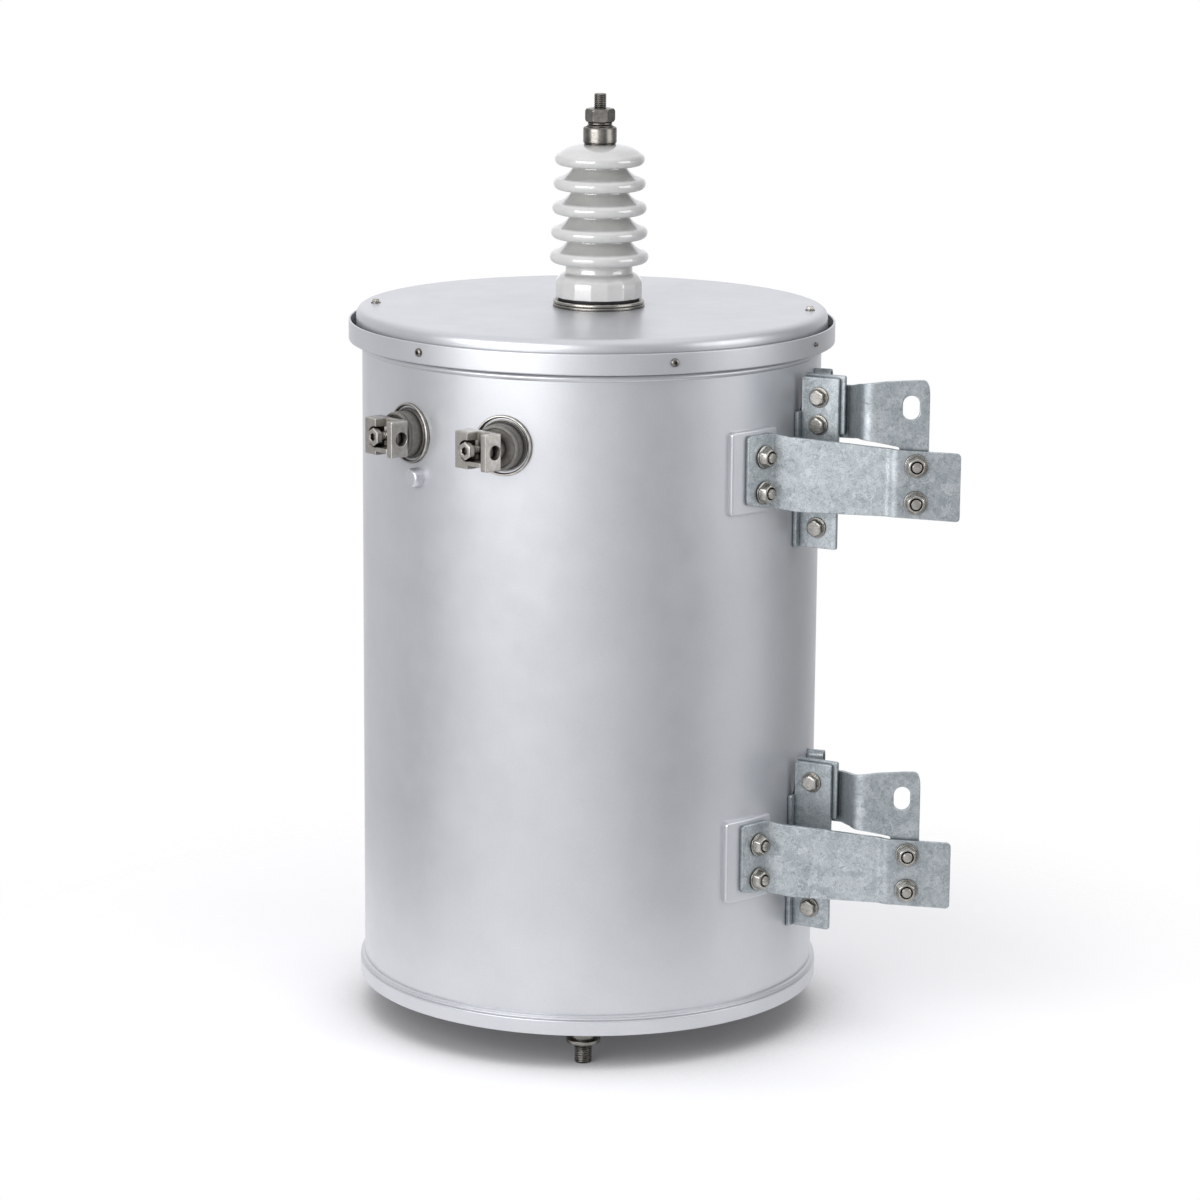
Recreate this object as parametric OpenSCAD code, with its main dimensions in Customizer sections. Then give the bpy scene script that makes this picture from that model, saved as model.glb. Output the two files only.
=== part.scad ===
// Pole mounted transformer: a round oil tank with a clamped cover, one high voltage
// bushing on top, two low voltage bushings in the wall and two galvanised hanger
// brackets at the side. Millimetres. The origin is on the pole side of the upper
// hanger arm, +Y points into the pole, +Z is up.

/* [Tank] */
// Outside diameter of the tank shell
tank_d = 700; // [580:10:860]
// Height of the tank, from the foot of its base ring to the top of the cover
tank_h = 1048; // [880:2:1300]
// How far the base ring stands out from the shell
base_ring_out = 7; // [4:0.5:12]
// Height of the base ring
base_ring_h = 31; // [20:1:45]
// Depth of the hollow under the tank floor
floor_recess = 20; // [8:1:22]

/* [Cover] */
// How far the cover stands out past the shell
cover_out = 9; // [5:0.5:12]
// Rounding of the cover's top edge
cover_round = 12; // [6:1:18]
// Depth of the cover, gasket to top
cover_depth = 36; // [26:1:50]
// Thickness of the cover gasket
gasket_t = 6; // [3:0.5:8]
// Height of the clamp band
band_h = 31; // [26:1:40]
// Thickness of the clamp band
band_t = 3; // [2:0.5:5]
// Slot between the cover's skirt and the clamp band
band_slot = 8.4; // [5:0.2:12]

/* [High voltage bushing] */
// Distance of the bushing from the tank axis
hv_x = 10; // [0:1:80]
// Number of rain sheds
hv_sheds = 5; // [3:1:7]
// Distance from shed to shed
hv_pitch = 37; // [30:0.5:46]
// Radius of the lowest shed
hv_shed_r = 75.3; // [60:0.1:90]
// Rounding of a shed's rim
hv_rim_r = 9.5; // [6:0.5:14]
// Radius of the lowest neck
hv_neck_r = 51; // [40:0.5:60]
// Radius of the faceted foot
hv_foot_r = 66.5; // [58:0.5:80]
// Diameter of the terminal stud
hv_stud_d = 19; // [14:0.5:24]

/* [Low voltage bushings] */
// Bearing of the outer bushing, from the front towards the hanger side
lv1_az = -50; // [-60:1:-45]
// Bearing of the inner bushing
lv2_az = -21.5; // [-28:0.5:-10]
// Height of both bushings under the cover's top
lv_drop = 160; // [120:1:220]
// Outside diameter of the bushing's ring
lv_ring_d = 90; // [70:1:96]
// Diameter of the sleeve
lv_sleeve_d = 68; // [54:1:72]
// How far the sleeve stands out from the shell
lv_sleeve_l = 28; // [20:1:50]
// Height of the terminal clamp
lv_clamp_h = 54; // [44:1:66]
// Width of the jaw between block and plate
lv_jaw = 27; // [16:1:30]
// Diameter of the hole in the clamp plate
lv_hole_d = 21; // [13:1:25]

/* [Hanger brackets] */
// Distance between the two brackets, slot to slot
hanger_spacing = 590.5; // [480:0.5:720]
// Depth of the upper slot under the cover's top
slot_drop = 108.4; // [100:0.2:160]
// Width of a hanger slot
slot_w = 25; // [18:0.5:32]
// Length of a hanger slot, up and down
slot_l = 36; // [30:0.5:46]
// Distance of the slots from the shell
slot_out = 117.4; // [100:0.2:150]
// Thickness of the hanger arm
arm_t = 8; // [6:0.5:12]
// Thickness of the front strap
strap_t = 7; // [5:0.5:10]
// Thickness of the support bar and of the plate behind it
bar_t = 7; // [5:0.5:10]
// Bearing of the support bar
bar_az = 61.5; // [58:0.5:66]
// Thickness of the pad welded to the shell
pad_t = 9; // [6:0.5:14]
// Thread of the strap nuts
strap_bolt_d = 16; // [12:0.5:20]
// Thread of the bar bolts
bar_bolt_d = 12; // [8:0.5:14]

/* [Hidden] */
$fn = 96;

fit = 0.3;                               // play of a bolt in its hole, on the radius
tank_r = tank_d / 2;
shell_top = tank_h - cover_depth - gasket_t;
curb_t = 5;
cover_r = tank_r + cover_out;
band_in = cover_r + band_slot;
band_r = band_in + band_t;
band_low = shell_top - curb_t - band_t;

// brackets: the arm's flat stands in front of the pole, the strap's end on its front
arm_front = -0.8 * tank_r;
arm_back = arm_front + arm_t;
slot_x = tank_r + slot_out;
slot_z = tank_h - slot_drop;
face_x = slot_x - 35;
bar_w = 66;
bar_bolt_u = 34;
pad_az = [35, 50];
pad_z = [-162.3, -36.2];                 // foot and head of the pad, from the slot's height
foot_r = tank_r + pad_t + strap_t / 2 + 0.1;
foot_az = [39, 45.5];
foot_nut_az = 44.2;
foot_nut_z = [-77.1, -130.5];
arm_nut_x = slot_x + 8.5;
arm_nut_z = [-85.1, -139.9];
bar_z = [-229.4, 29];
upper_bolt_z = [-1, -42.6, -197.7];
lower_bolt_z = [-1, -197.7];
arm_foot_z = -50;                        // bolts above this also pass through the arm

// low voltage clamps
lv_block_w = 26.5;
lv_plate_t = 11.5;
lv_clamp_y = -4;                         // back and front of the clamp, from the sleeve's end
lv_clamp_l = 34;
lv_hole_y = -15.5;
lv1_pose = [0, -1.5, 0];
lv2_pose = [-23, -16.5, 12];

// high voltage bushing, heights above the cover
hv_ring_h = 10;
hv_foot_z = 14;
hv_foot_h = 27;
hv_first = 75.1;
hv_cap_z = hv_first + hv_pitch * (hv_sheds - 1);
hv_collar_z = hv_cap_z + 22.5;
hv_collar_h = 26;
hv_washer_h = 7;
hv_nut_h = 21;
hv_stud_core = hv_stud_d - 0.8;
hv_stud_top = hv_collar_z + hv_collar_h + hv_washer_h + hv_nut_h + 22;

// ---------------------------------------------------------------- helpers
// Moves what is drawn about the tank axis, base at z = 0, into the part's frame.
module placed() { translate([-face_x, -arm_back, -slot_z]) children(); }

// A spot on the wall at bearing az: outward is -Y there, rightward is +X.
module at_wall(az, r, z) {
    translate([r * sin(az), -r * cos(az), z]) rotate([0, 0, az]) children();
}

// A bracket's pieces are drawn about the tank axis with z = 0 at the slot's centre.
module at_bracket(n) { placed() translate([0, 0, slot_z - n * hanger_spacing]) children(); }

// The room that the shell takes up: what is welded to it is cut to it.
module shell_space() { cylinder(r = tank_r, h = tank_h); }

module outward(r, h) { rotate([90, 0, 0]) cylinder(r = r, h = h); }

// A hexagon head with its corners turned off, standing outward.
module hex_outward(across, h) {
    rotate([90, 0, 0]) intersection() {
        cylinder(d = across / cos(30), h = h, $fn = 6);
        cylinder(d1 = across * 1.16 + h, d2 = across * 1.02, h = h);
    }
}

// A piece of a ring, between two bearings.
module ring_piece(r1, r2, az, h) {
    mid = (az[0] + az[1]) / 2;
    far = r2 * 1.2;
    linear_extrude(h) intersection() {
        difference() { circle(r = r2); circle(r = r1); }
        polygon([[0, 0], [far * sin(az[0]), -far * cos(az[0])], [far * sin(mid), -far * cos(mid)],
            [far * sin(az[1]), -far * cos(az[1])]]);
    }
}

// Points of an arc about c, with the bearing a measured from +X.
function arc(c, r, a0, a1, n) =
    [for (i = [0 : n]) let (a = a0 + (a1 - a0) * i / n) c + r * [cos(a), sin(a)]];
function unit(v) = v / norm(v);
// Replaces a corner b between a and c by a round of radius r.
function round_corner(a, b, c, r, n = 5) =
    let (u = unit(a - b), v = unit(c - b), half = acos(u * v) / 2,
        centre = b + unit(u + v) * r / sin(half),
        p = b + u * r / tan(half) - centre, q = b + v * r / tan(half) - centre,
        a0 = atan2(p[1], p[0]), d = atan2(q[1], q[0]) - a0,
        turn = d > 180 ? d - 360 : d < -180 ? d + 360 : d)
    arc(centre, r, a0, a0 + turn, n);
function side_of(path, i) =
    let (n = len(path) - 1,
        a = unit(path[min(i + 1, n)] - path[max(i, 0) == n ? n - 1 : i]),
        b = unit(path[i == 0 ? 1 : i] - path[i == 0 ? 0 : i - 1]),
        m = unit(a + b), k = 1 / max(0.3, m * b))
    k * [-m[1], m[0]];
// A bent plate in plan: a band of thickness t about a path.
module bent(path, t) {
    n = len(path) - 1;
    polygon(concat([for (i = [0 : n]) path[i] + side_of(path, i) * t / 2],
        [for (i = [n : -1 : 0]) path[i] - side_of(path, i) * t / 2]));
}
// Keeps of a bent plate what its front outline covers.
module cut_to(z0, z1) {
    intersection() {
        translate([0, 0, z0]) linear_extrude(z1 - z0) children(0);
        translate([0, tank_r, 0]) rotate([90, 0, 0]) linear_extrude(3 * tank_r) children(1);
    }
}

// ---------------------------------------------------------------- tank
module tank_body() color("#C9CBCF") placed() {
    translate([0, 0, floor_recess]) cylinder(r = tank_r, h = shell_top - floor_recess);
    translate([0, 0, shell_top - curb_t]) cylinder(r = tank_r + 12, h = curb_t);
}

module base_ring() color("#C2C4C9") placed() rotate_extrude() {
    translate([tank_r - 4, 0]) square([base_ring_out + 4, floor_recess]);
    translate([tank_r, 0]) square([base_ring_out, base_ring_h - 8]);
    translate([tank_r, base_ring_h - 8]) square([base_ring_out - 3, 8]);
    translate([tank_r + base_ring_out - 3, base_ring_h - 6]) circle(r = 2.6);
    translate([tank_r + base_ring_out - 3.4, base_ring_h - 2.6]) circle(r = 2.4);
}

module top_rim() color("#C9CBCF") placed() rotate_extrude() intersection() {
    translate([tank_r - 1, band_low - 8]) circle(r = 5);
    translate([tank_r, band_low - 20]) square([20, 30]);
}

module cover_gasket() color("#1B1C1E") placed() translate([0, 0, shell_top])
    difference() {
        cylinder(r = band_in, h = gasket_t);
        translate([0, 0, -1]) cylinder(r = tank_r - 30, h = gasket_t + 2);
    }

module cover() color("#C6C8CD") placed() rotate_extrude() {
    translate([0, shell_top + gasket_t]) square([cover_r - cover_round, cover_depth]);
    translate([0, shell_top + gasket_t]) square([cover_r, cover_depth - cover_round]);
    translate([cover_r - cover_round, tank_h - cover_round]) circle(r = cover_round);
}

module clamp_band() color("#BFC1C6") placed() rotate_extrude() {
    translate([band_in, band_low]) square([band_t, band_h]);
    translate([tank_r + 3, band_low]) square([band_r - tank_r - 3, band_t]);
}

module clamp_band_screws() color("#A9A49B") placed()
    for (s = [[-43, 6.5], [18.8, 6.5], [63.6, 3.5]])
        at_wall(s[0], band_r - 0.2, band_low + 17) rotate([90, 0, 0]) {
            cylinder(r = s[1], h = 2.2);
            translate([0, 0, 2.2]) cylinder(r1 = s[1], r2 = s[1] * 0.6, h = 2.2);
        }

module cover_bolts() color("#A9A49B") placed()
    for (p = [[-0.943, 0.034], [0.943, -0.103]])
        translate([p[0] * tank_r, p[1] * tank_r, tank_h]) {
            cylinder(r = 7.5, h = 1.6);
            cylinder(d = 11.5, h = 6, $fn = 6);
        }

module relief_plug() color("#C9CBCF") placed() difference() {
    at_wall(-46.9, tank_r - 2, tank_h - 223.5) {
        outward(14.6, 15);
        outward(11.5, 17.5);
    }
    shell_space();
}

module base_stud() color("#8F8A82") placed() translate([-6, -0.9 * tank_r, 0]) {
    translate([0, 0, -15]) cylinder(r = 19, h = floor_recess + 15);
    translate([0, 0, -25]) cylinder(r = 26, h = 10);
    translate([0, 0, -52.5]) cylinder(r = 13.4, h = 28);
}

// ---------------------------------------------------------------- high voltage bushing
module on_cover() { placed() translate([hv_x, 0, tank_h]) children(); }

module hv_base_ring() color("#A7A39C") on_cover() difference() {
    union() {
        cylinder(r = 70, h = 4.5);
        translate([0, 0, 4.5]) cylinder(r = 68.6, h = hv_ring_h - 4.5);
    }
    translate([0, 0, -1]) cylinder(r = 55, h = hv_ring_h + 2);
}

module hv_gasket() color("#1B1C1E") on_cover() difference() {
    cylinder(r = 62, h = hv_foot_z);
    translate([0, 0, -1]) difference() {
        cylinder(r = 80, h = hv_ring_h + 1);
        cylinder(r = 55, h = hv_ring_h + 2);
    }
}

function neck_r(i) = hv_neck_r - 2.4 * i;
function shed_r(i) = hv_shed_r - 1.75 * i;
function shed_z(i) = hv_first + hv_pitch * i;

// One shed: a round rim, a flat underside and a sloping top up to the next neck.
module shed(i) {
    top = i == hv_sheds - 1;
    rim = shed_r(i) - hv_rim_r;
    inner = top ? 24 : neck_r(i + 1);
    translate([rim, shed_z(i)]) circle(r = hv_rim_r);
    polygon([[0, shed_z(i) - hv_rim_r], [rim, shed_z(i) - hv_rim_r],
        [rim + hv_rim_r * 0.35, shed_z(i) + hv_rim_r * 0.93],
        [inner, shed_z(i) + (top ? 22.5 : 20)], [0, shed_z(i) + (top ? 22.5 : 20)]]);
}

module hv_porcelain() color("#C9C9C7") on_cover() {
    sides = 16;
    translate([0, 0, hv_foot_z]) linear_extrude(hv_foot_h)
        polygon([for (i = [0 : sides - 1]) hv_foot_r * [cos(i * 360 / sides), sin(i * 360 / sides)]]);
    rotate_extrude() {
        translate([0, hv_foot_z + hv_foot_h]) polygon([[0, 0], [hv_foot_r * 0.975, 0], [hv_foot_r * 0.86, 7],
            [hv_neck_r, 10], [hv_neck_r, 20], [0, 20]]);
        for (i = [0 : hv_sheds - 1]) {
            translate([0, shed_z(i) - hv_pitch / 2 + 1]) square([neck_r(i), hv_pitch / 2]);
            shed(i);
        }
    }
}

module hv_collar() color("#9C9992") on_cover() translate([0, 0, hv_collar_z]) difference() {
    cylinder(r = 25.4, h = hv_collar_h);
    translate([0, 0, -1]) cylinder(d = hv_stud_d + 2 * fit, h = hv_collar_h + 2);
}

module hv_washers() color("#8F8A82") on_cover() translate([0, 0, hv_collar_z + hv_collar_h])
    difference() {
        union() {
            cylinder(r = 20.5, h = hv_washer_h * 0.4);
            cylinder(r = 18.5, h = hv_washer_h);
        }
        translate([0, 0, -1]) cylinder(d = hv_stud_d + 2 * fit, h = hv_washer_h + 2);
    }

module hv_nut() color("#8F8A82") on_cover()
    translate([0, 0, hv_collar_z + hv_collar_h + hv_washer_h]) difference() {
        intersection() {
            cylinder(d = 45.5, h = hv_nut_h, $fn = 6);
            cylinder(d1 = 52, d2 = 42.5, h = hv_nut_h);
        }
        translate([0, 0, -1]) cylinder(d = hv_stud_core, h = hv_nut_h + 2);
    }

// The stud is a little thinner inside the nut and collar than on its free end.
module hv_stud() color("#8F8A82") on_cover() {
    nut_top = hv_collar_z + hv_collar_h + hv_washer_h + hv_nut_h;
    translate([0, 0, hv_collar_z]) cylinder(d = hv_stud_core, h = nut_top - hv_collar_z);
    translate([0, 0, nut_top]) cylinder(d = hv_stud_d, h = hv_stud_top - nut_top);
}

// ---------------------------------------------------------------- low voltage bushings
module at_lv(az) { placed() at_wall(az, tank_r, tank_h - lv_drop) children(); }
// The clamp stands on the sleeve's end: pose is its turn, its shift sideways and its stand-off.
module on_sleeve(az, pose) {
    at_lv(az) translate([0, -lv_sleeve_l - pose[2], 0]) rotate([0, 0, pose[0]])
        translate([pose[1], 0, 0]) children();
}

module lv_ring(az) color("#A7A39C") difference() {
    at_lv(az) translate([0, 12, 0]) difference() {
        outward(lv_ring_d / 2, 16);
        translate([0, 1, 0]) outward(lv_sleeve_d / 2 + 2.5, 20);
    }
    placed() shell_space();
}

module lv_sleeve(az) color("#6F6B66") difference() {
    at_lv(az) translate([0, 12, 0]) {
        outward(lv_sleeve_d / 2 + 2.5, 13);
        outward(lv_sleeve_d / 2, lv_sleeve_l + 12);
    }
    placed() shell_space();
}

// Block and jaw floor of the clamp, on a stub that stands on the sleeve.
module lv_terminal(az, pose) {
    deep = lv_clamp_l + lv_clamp_y;
    low = -lv_clamp_h / 2;
    color("#8B867E") difference() {
        union() {
            on_sleeve(az, pose) {
                translate([-lv_block_w, -lv_clamp_l, low]) cube([lv_block_w, deep, lv_clamp_h]);
                translate([-lv_block_w, lv_clamp_y - 9, low]) cube([lv_block_w + lv_jaw, 9, lv_clamp_h]);
                translate([-6, -lv_clamp_l, low + 5]) cube([lv_jaw + 6, deep - 2, 8]);
            }
            at_lv(az) translate([0, -lv_sleeve_l, 0]) outward(16, 7 + 1.05 * pose[2]);
        }
        on_sleeve(az, pose) {
            translate([-3, -18, 0]) outward(15, 30);
            translate([-3, -7, 0]) outward(8 + fit, 30);
        }
    }
}

module lv_clamp_plate(az, pose) color("#938E86") on_sleeve(az, pose) difference() {
    translate([lv_jaw, -lv_clamp_l, -lv_clamp_h / 2]) cube([lv_plate_t, lv_clamp_l + lv_clamp_y, lv_clamp_h]);
    translate([lv_jaw - 1, lv_hole_y, 0]) rotate([0, 90, 0]) cylinder(d = lv_hole_d, h = lv_plate_t + 2);
}

module lv_screw(az, pose) color("#7F7A73") on_sleeve(az, pose) translate([-3, 0, 0]) difference() {
    union() {
        translate([0, -7, 0]) outward(8, 22);
        translate([0, -28, 0]) hex_outward(24, 10);
    }
    translate([0, -33, 0]) hex_outward(10, 8);
}

// ---------------------------------------------------------------- hanger brackets
module pad() color("#B9BBC0") translate([0, 0, pad_z[0]])
    ring_piece(tank_r, tank_r + pad_t, pad_az, pad_z[1] - pad_z[0]);

// The strap starts on the pad, bends outward and ends flat on the arm, a step forward.
function strap_path() =
    let (a = foot_az[1], foot_end = foot_r * [sin(a), -cos(a)], along = [cos(a), sin(a)],
        corner = foot_end + 14 * along,
        step = [slot_x - 31, arm_front + strap_t / 2 + 0.5], tab = [slot_x - 22, arm_front - strap_t / 2],
        end = [slot_x + 74, arm_front - strap_t / 2])
    concat([for (i = [0 : 3]) let (b = foot_az[0] + (a - foot_az[0]) * i / 3) foot_r * [sin(b), -cos(b)]],
        round_corner(foot_end, corner, step, 26),
        [step, tab, end]);

module strap_outline() polygon([[foot_r * sin(foot_az[0]) - 5, -43], [0.75 * tank_r, -43.5],
    [0.83 * tank_r, -49], [slot_x - 22, -61.2], [slot_x + 74, -67], [slot_x + 74, -168.7],
    [slot_x - 22, -162.1], [0.87 * tank_r, -161.2], [0.76 * tank_r, -156], [foot_r * sin(foot_az[0]) - 5, -145]]);

module strap() color("#A9B0B3") difference() {
    cut_to(-180, 0) { bent(strap_path(), strap_t); strap_outline(); }
    for (z = foot_nut_z) at_wall(foot_nut_az, foot_r, z) translate([0, 20, 0]) outward(strap_bolt_d / 2 + fit, 40);
    for (z = arm_nut_z) translate([arm_nut_x, arm_front + 10, z]) outward(strap_bolt_d / 2 + fit, 40);
}

// A nut on a stud that ends flush with the back of what it holds.
module strap_nut(back) {
    outward(17.5, 2.5);
    hex_outward(28, 14);
    outward(strap_bolt_d / 2, 17);
    translate([0, back, 0]) outward(strap_bolt_d / 2, back + 1);
}

module pad_nuts() color("#A39F97")
    for (z = foot_nut_z) at_wall(foot_nut_az, foot_r + strap_t / 2 + 0.4, z) strap_nut(strap_t);

module arm_nuts() color("#A39F97")
    for (z = arm_nut_z) translate([arm_nut_x, arm_front - strap_t, z]) strap_nut(strap_t + arm_t);

// The bar stands edge-on to the shell, with a narrow flange along it.
module bar(bolts) color("#A6ADB1") difference() {
    union() {
        at_wall(bar_az, tank_r, bar_z[0]) translate([0, -bar_w, 0])
            cube([bar_t, bar_w + 4, bar_z[1] - bar_z[0]]);
        translate([0, 0, bar_z[0]]) ring_piece(tank_r, tank_r + 7, [bar_az - 2, bar_az + 0.8], bar_z[1] - bar_z[0] - 52);
    }
    translate([0, 0, bar_z[0] - 1]) cylinder(r = tank_r, h = 400);
    for (z = bolts) bar_hole(z);
}
module bar_hole(z) {
    at_wall(bar_az, tank_r + bar_bolt_u, z) rotate([0, 90, 0])
        translate([0, 0, -20]) cylinder(r = bar_bolt_d / 2 + fit, h = 60);
}

module backing_plate(bolts) color("#98A0A4") difference() {
    at_wall(bar_az, tank_r, -55) translate([bar_t, -bar_w - 7, 0]) cube([bar_t, bar_w, 88]);
    for (z = bolts) if (z > arm_foot_z) bar_hole(z);
}

// The arm lies behind the backing plate, comes forward past the bar and ends in the flat
// that meets the pole.
function arm_path() =
    let (out = [sin(bar_az), -cos(bar_az)], back = [cos(bar_az), sin(bar_az)],
        lie = 2 * bar_t + arm_t / 2,
        root = (tank_r + 12) * out + lie * back, heel = (tank_r + bar_w + 13) * out + lie * back,
        ridge = [slot_x - 69, arm_front + arm_t / 2], end = [slot_x + 27, arm_front + arm_t / 2])
    concat([root], round_corner(root, heel, ridge, 10), round_corner(heel, ridge, end, 16), [end]);

module arm_outline() difference() {
    polygon(concat([[0.9 * tank_r, 17], [1.1 * tank_r, 18.5], [slot_x - 69, 34], [slot_x - 37, 38.5]],
        arc([slot_x + 7, 20.5], 20, 90, 0, 8),
        [[slot_x + 27, -155], [slot_x - 16, -155], [slot_x - 16, -58.5], [slot_x - 69, -47.5],
            [1.1 * tank_r, -61], [0.9 * tank_r, -62]]));
    for (z = [-1, 1]) translate([slot_x, z * (slot_l - slot_w) / 2]) circle(d = slot_w);
    square_at([slot_x, 0], [slot_w, slot_l - slot_w]);
}
module square_at(c, s) { translate([c[0] - s[0] / 2, c[1] - s[1] / 2]) square(s); }

module arm(bolts) color("#A0A8AC") difference() {
    cut_to(-180, 60) { bent(arm_path(), arm_t); arm_outline(); }
    for (z = bolts) if (z > arm_foot_z) bar_hole(z);
    for (z = arm_nut_z) translate([arm_nut_x, arm_front + 20, z]) outward(strap_bolt_d / 2 + fit, 40);
}

// A folded clip on the shell behind the arm, its bend at the top.
module clip() color("#9AA2A6") at_wall(bar_az + 12, tank_r + 26, -41)
    rotate([-90, 0, 0]) translate([0, -62, 0]) linear_extrude(26.1) difference() {
        union() {
            translate([-9, 0]) square([18, 62]);
            circle(r = 9);
        }
        translate([-6.5, -1]) square([13, 64]);
        circle(r = 6.5);
    }

module bar_bolt(z, through) {
    at_wall(bar_az, tank_r + bar_bolt_u, z) rotate([0, -90, 0]) {
        cylinder(r = 15.5, h = 2.5);
        intersection() {
            cylinder(d = 25.5, h = 12, $fn = 6);
            cylinder(d1 = 34, d2 = 22.5, h = 12);
        }
        translate([0, 0, -through - 3]) cylinder(d = bar_bolt_d, h = through + 4);
    }
}
module bar_bolts(heights) color("#A39F97")
    for (z = heights) bar_bolt(z, z > arm_foot_z ? 2 * bar_t + arm_t : bar_t);

tank_body();
base_ring();
top_rim();
cover_gasket();
cover();
clamp_band();
clamp_band_screws();
cover_bolts();
relief_plug();
base_stud();
hv_base_ring();
hv_gasket();
hv_porcelain();
hv_collar();
hv_washers();
hv_nut();
hv_stud();
lv_ring(lv1_az);  // lv1_ring
lv_sleeve(lv1_az);  // lv1_sleeve
lv_terminal(lv1_az, lv1_pose);  // lv1_terminal
lv_clamp_plate(lv1_az, lv1_pose);  // lv1_clamp_plate
lv_screw(lv1_az, lv1_pose);  // lv1_screw
lv_ring(lv2_az);  // lv2_ring
lv_sleeve(lv2_az);  // lv2_sleeve
lv_terminal(lv2_az, lv2_pose);  // lv2_terminal
lv_clamp_plate(lv2_az, lv2_pose);  // lv2_clamp_plate
lv_screw(lv2_az, lv2_pose);  // lv2_screw
at_bracket(0) pad();  // upper_pad
at_bracket(0) strap();  // upper_strap
at_bracket(0) bar(upper_bolt_z);  // upper_bar
at_bracket(0) backing_plate(upper_bolt_z);  // upper_backing_plate
at_bracket(0) arm(upper_bolt_z);  // upper_arm
at_bracket(0) clip();  // upper_clip
at_bracket(0) pad_nuts();  // upper_pad_nuts
at_bracket(0) bar_bolts(upper_bolt_z);  // upper_bar_bolts
at_bracket(0) arm_nuts();  // upper_arm_nuts
at_bracket(1) pad();  // lower_pad
at_bracket(1) strap();  // lower_strap
at_bracket(1) bar(lower_bolt_z);  // lower_bar
at_bracket(1) backing_plate(lower_bolt_z);  // lower_backing_plate
at_bracket(1) arm(lower_bolt_z);  // lower_arm
at_bracket(1) clip();  // lower_clip
at_bracket(1) pad_nuts();  // lower_pad_nuts
at_bracket(1) bar_bolts(lower_bolt_z);  // lower_bar_bolts
at_bracket(1) arm_nuts();  // lower_arm_nuts
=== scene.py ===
# %% [markdown]
# # Pole mounted transformer
# The object is a painted steel tank of oil, clamped shut under a round cover. A porcelain
# bushing on the cover takes the high voltage line, two bronze clamps in the wall give the
# low voltage, and two galvanised hanger brackets bolt it to a pole. The solids come from the
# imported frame, and each visible piece is drawn again here as a finished surface in the same place.

# %% Load the frame
import bpy, math
import numpy as np
from mathutils import Matrix, Vector


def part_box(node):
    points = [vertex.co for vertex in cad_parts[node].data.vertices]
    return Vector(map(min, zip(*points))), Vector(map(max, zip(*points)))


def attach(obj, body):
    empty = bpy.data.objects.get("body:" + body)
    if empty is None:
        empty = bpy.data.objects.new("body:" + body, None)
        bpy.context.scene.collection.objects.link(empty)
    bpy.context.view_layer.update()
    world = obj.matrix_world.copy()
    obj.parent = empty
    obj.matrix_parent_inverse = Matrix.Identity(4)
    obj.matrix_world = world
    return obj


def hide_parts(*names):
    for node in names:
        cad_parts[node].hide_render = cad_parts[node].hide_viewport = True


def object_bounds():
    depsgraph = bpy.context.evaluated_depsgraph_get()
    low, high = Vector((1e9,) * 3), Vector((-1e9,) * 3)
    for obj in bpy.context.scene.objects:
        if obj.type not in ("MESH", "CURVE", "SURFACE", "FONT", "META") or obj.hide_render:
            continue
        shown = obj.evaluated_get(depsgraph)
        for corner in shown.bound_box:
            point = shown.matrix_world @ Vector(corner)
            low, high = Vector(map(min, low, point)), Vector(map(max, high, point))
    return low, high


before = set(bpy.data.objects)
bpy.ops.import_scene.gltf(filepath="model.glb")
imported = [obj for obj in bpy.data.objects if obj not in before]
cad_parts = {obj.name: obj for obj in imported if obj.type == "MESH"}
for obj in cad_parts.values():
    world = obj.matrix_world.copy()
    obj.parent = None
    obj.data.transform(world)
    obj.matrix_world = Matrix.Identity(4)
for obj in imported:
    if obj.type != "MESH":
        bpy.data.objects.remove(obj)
cad_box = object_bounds()
print("CAD nodes:", len(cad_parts))

# %% [markdown]
# ## One set of axes for the whole tank
# A tank maker measures from the tank's own axis and its foot, and gives a bearing for all
# that stands on the wall. The same is done here: every size is in millimetres from the foot
# of the axis, and a stand says where a piece's own x, y and z point. Bearings start at the
# front and grow towards the hangers.

# %% Tank axes and stands
MM = 0.001
foot_low, foot_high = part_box("base_ring")
AXIS_FOOT = np.array([(foot_low.x + foot_high.x) / 2, (foot_low.y + foot_high.y) / 2, foot_low.z])
TANK_R = 350.0
TANK_H = round((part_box("cover")[1].z - foot_low.z) / MM, 1)
UP = np.array([0.0, 0.0, 1.0])


def upright(x=0.0, y=0.0, z=0.0):
    """Stand with the tank's own axes, at a point in mm from the foot of the axis."""
    return np.array([x, y, z]), np.eye(3)


def hanging(x, y, z):
    """Stand turned over about x, so that its z points down."""
    return np.array([x, y, z]), np.diag([1.0, -1.0, -1.0])


def on_wall(bearing, r, z, turn=0.0, shift=0.0, off=0.0):
    """Stand at a bearing: x to the right, y up, z outward. It moves off along z, then
    turns about y by turn degrees and shifts sideways along its new x."""
    a, b = math.radians(bearing), math.radians(bearing + turn)
    out, right = np.array([math.sin(a), -math.cos(a), 0.0]), np.array([math.cos(b), math.sin(b), 0.0])
    axes = np.array([right, UP, [math.sin(b), -math.cos(b), 0.0]])
    return (r + off) * out + z * UP + shift * right, axes


def to_row(points, stand):
    """Millimetres on a stand become metres in the shared frame: foot + origin + p times axes."""
    origin, axes = stand
    return AXIS_FOOT + MM * (origin + np.asarray(points) @ axes)


print("tank axis at", AXIS_FOOT.round(4), "height", TANK_H)

# %% [markdown]
# ## Camera
# The camera looks slightly down at the tank from the front with a long lens, so the tank's
# sides stay nearly parallel. Its place is given in tank radii from the foot of the axis, and
# its aim as three angles.

# %% Camera
CAMERA_FROM_FOOT = (-0.0210362137, -17.2836828, 5.43021628)  # in tank radii
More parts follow.
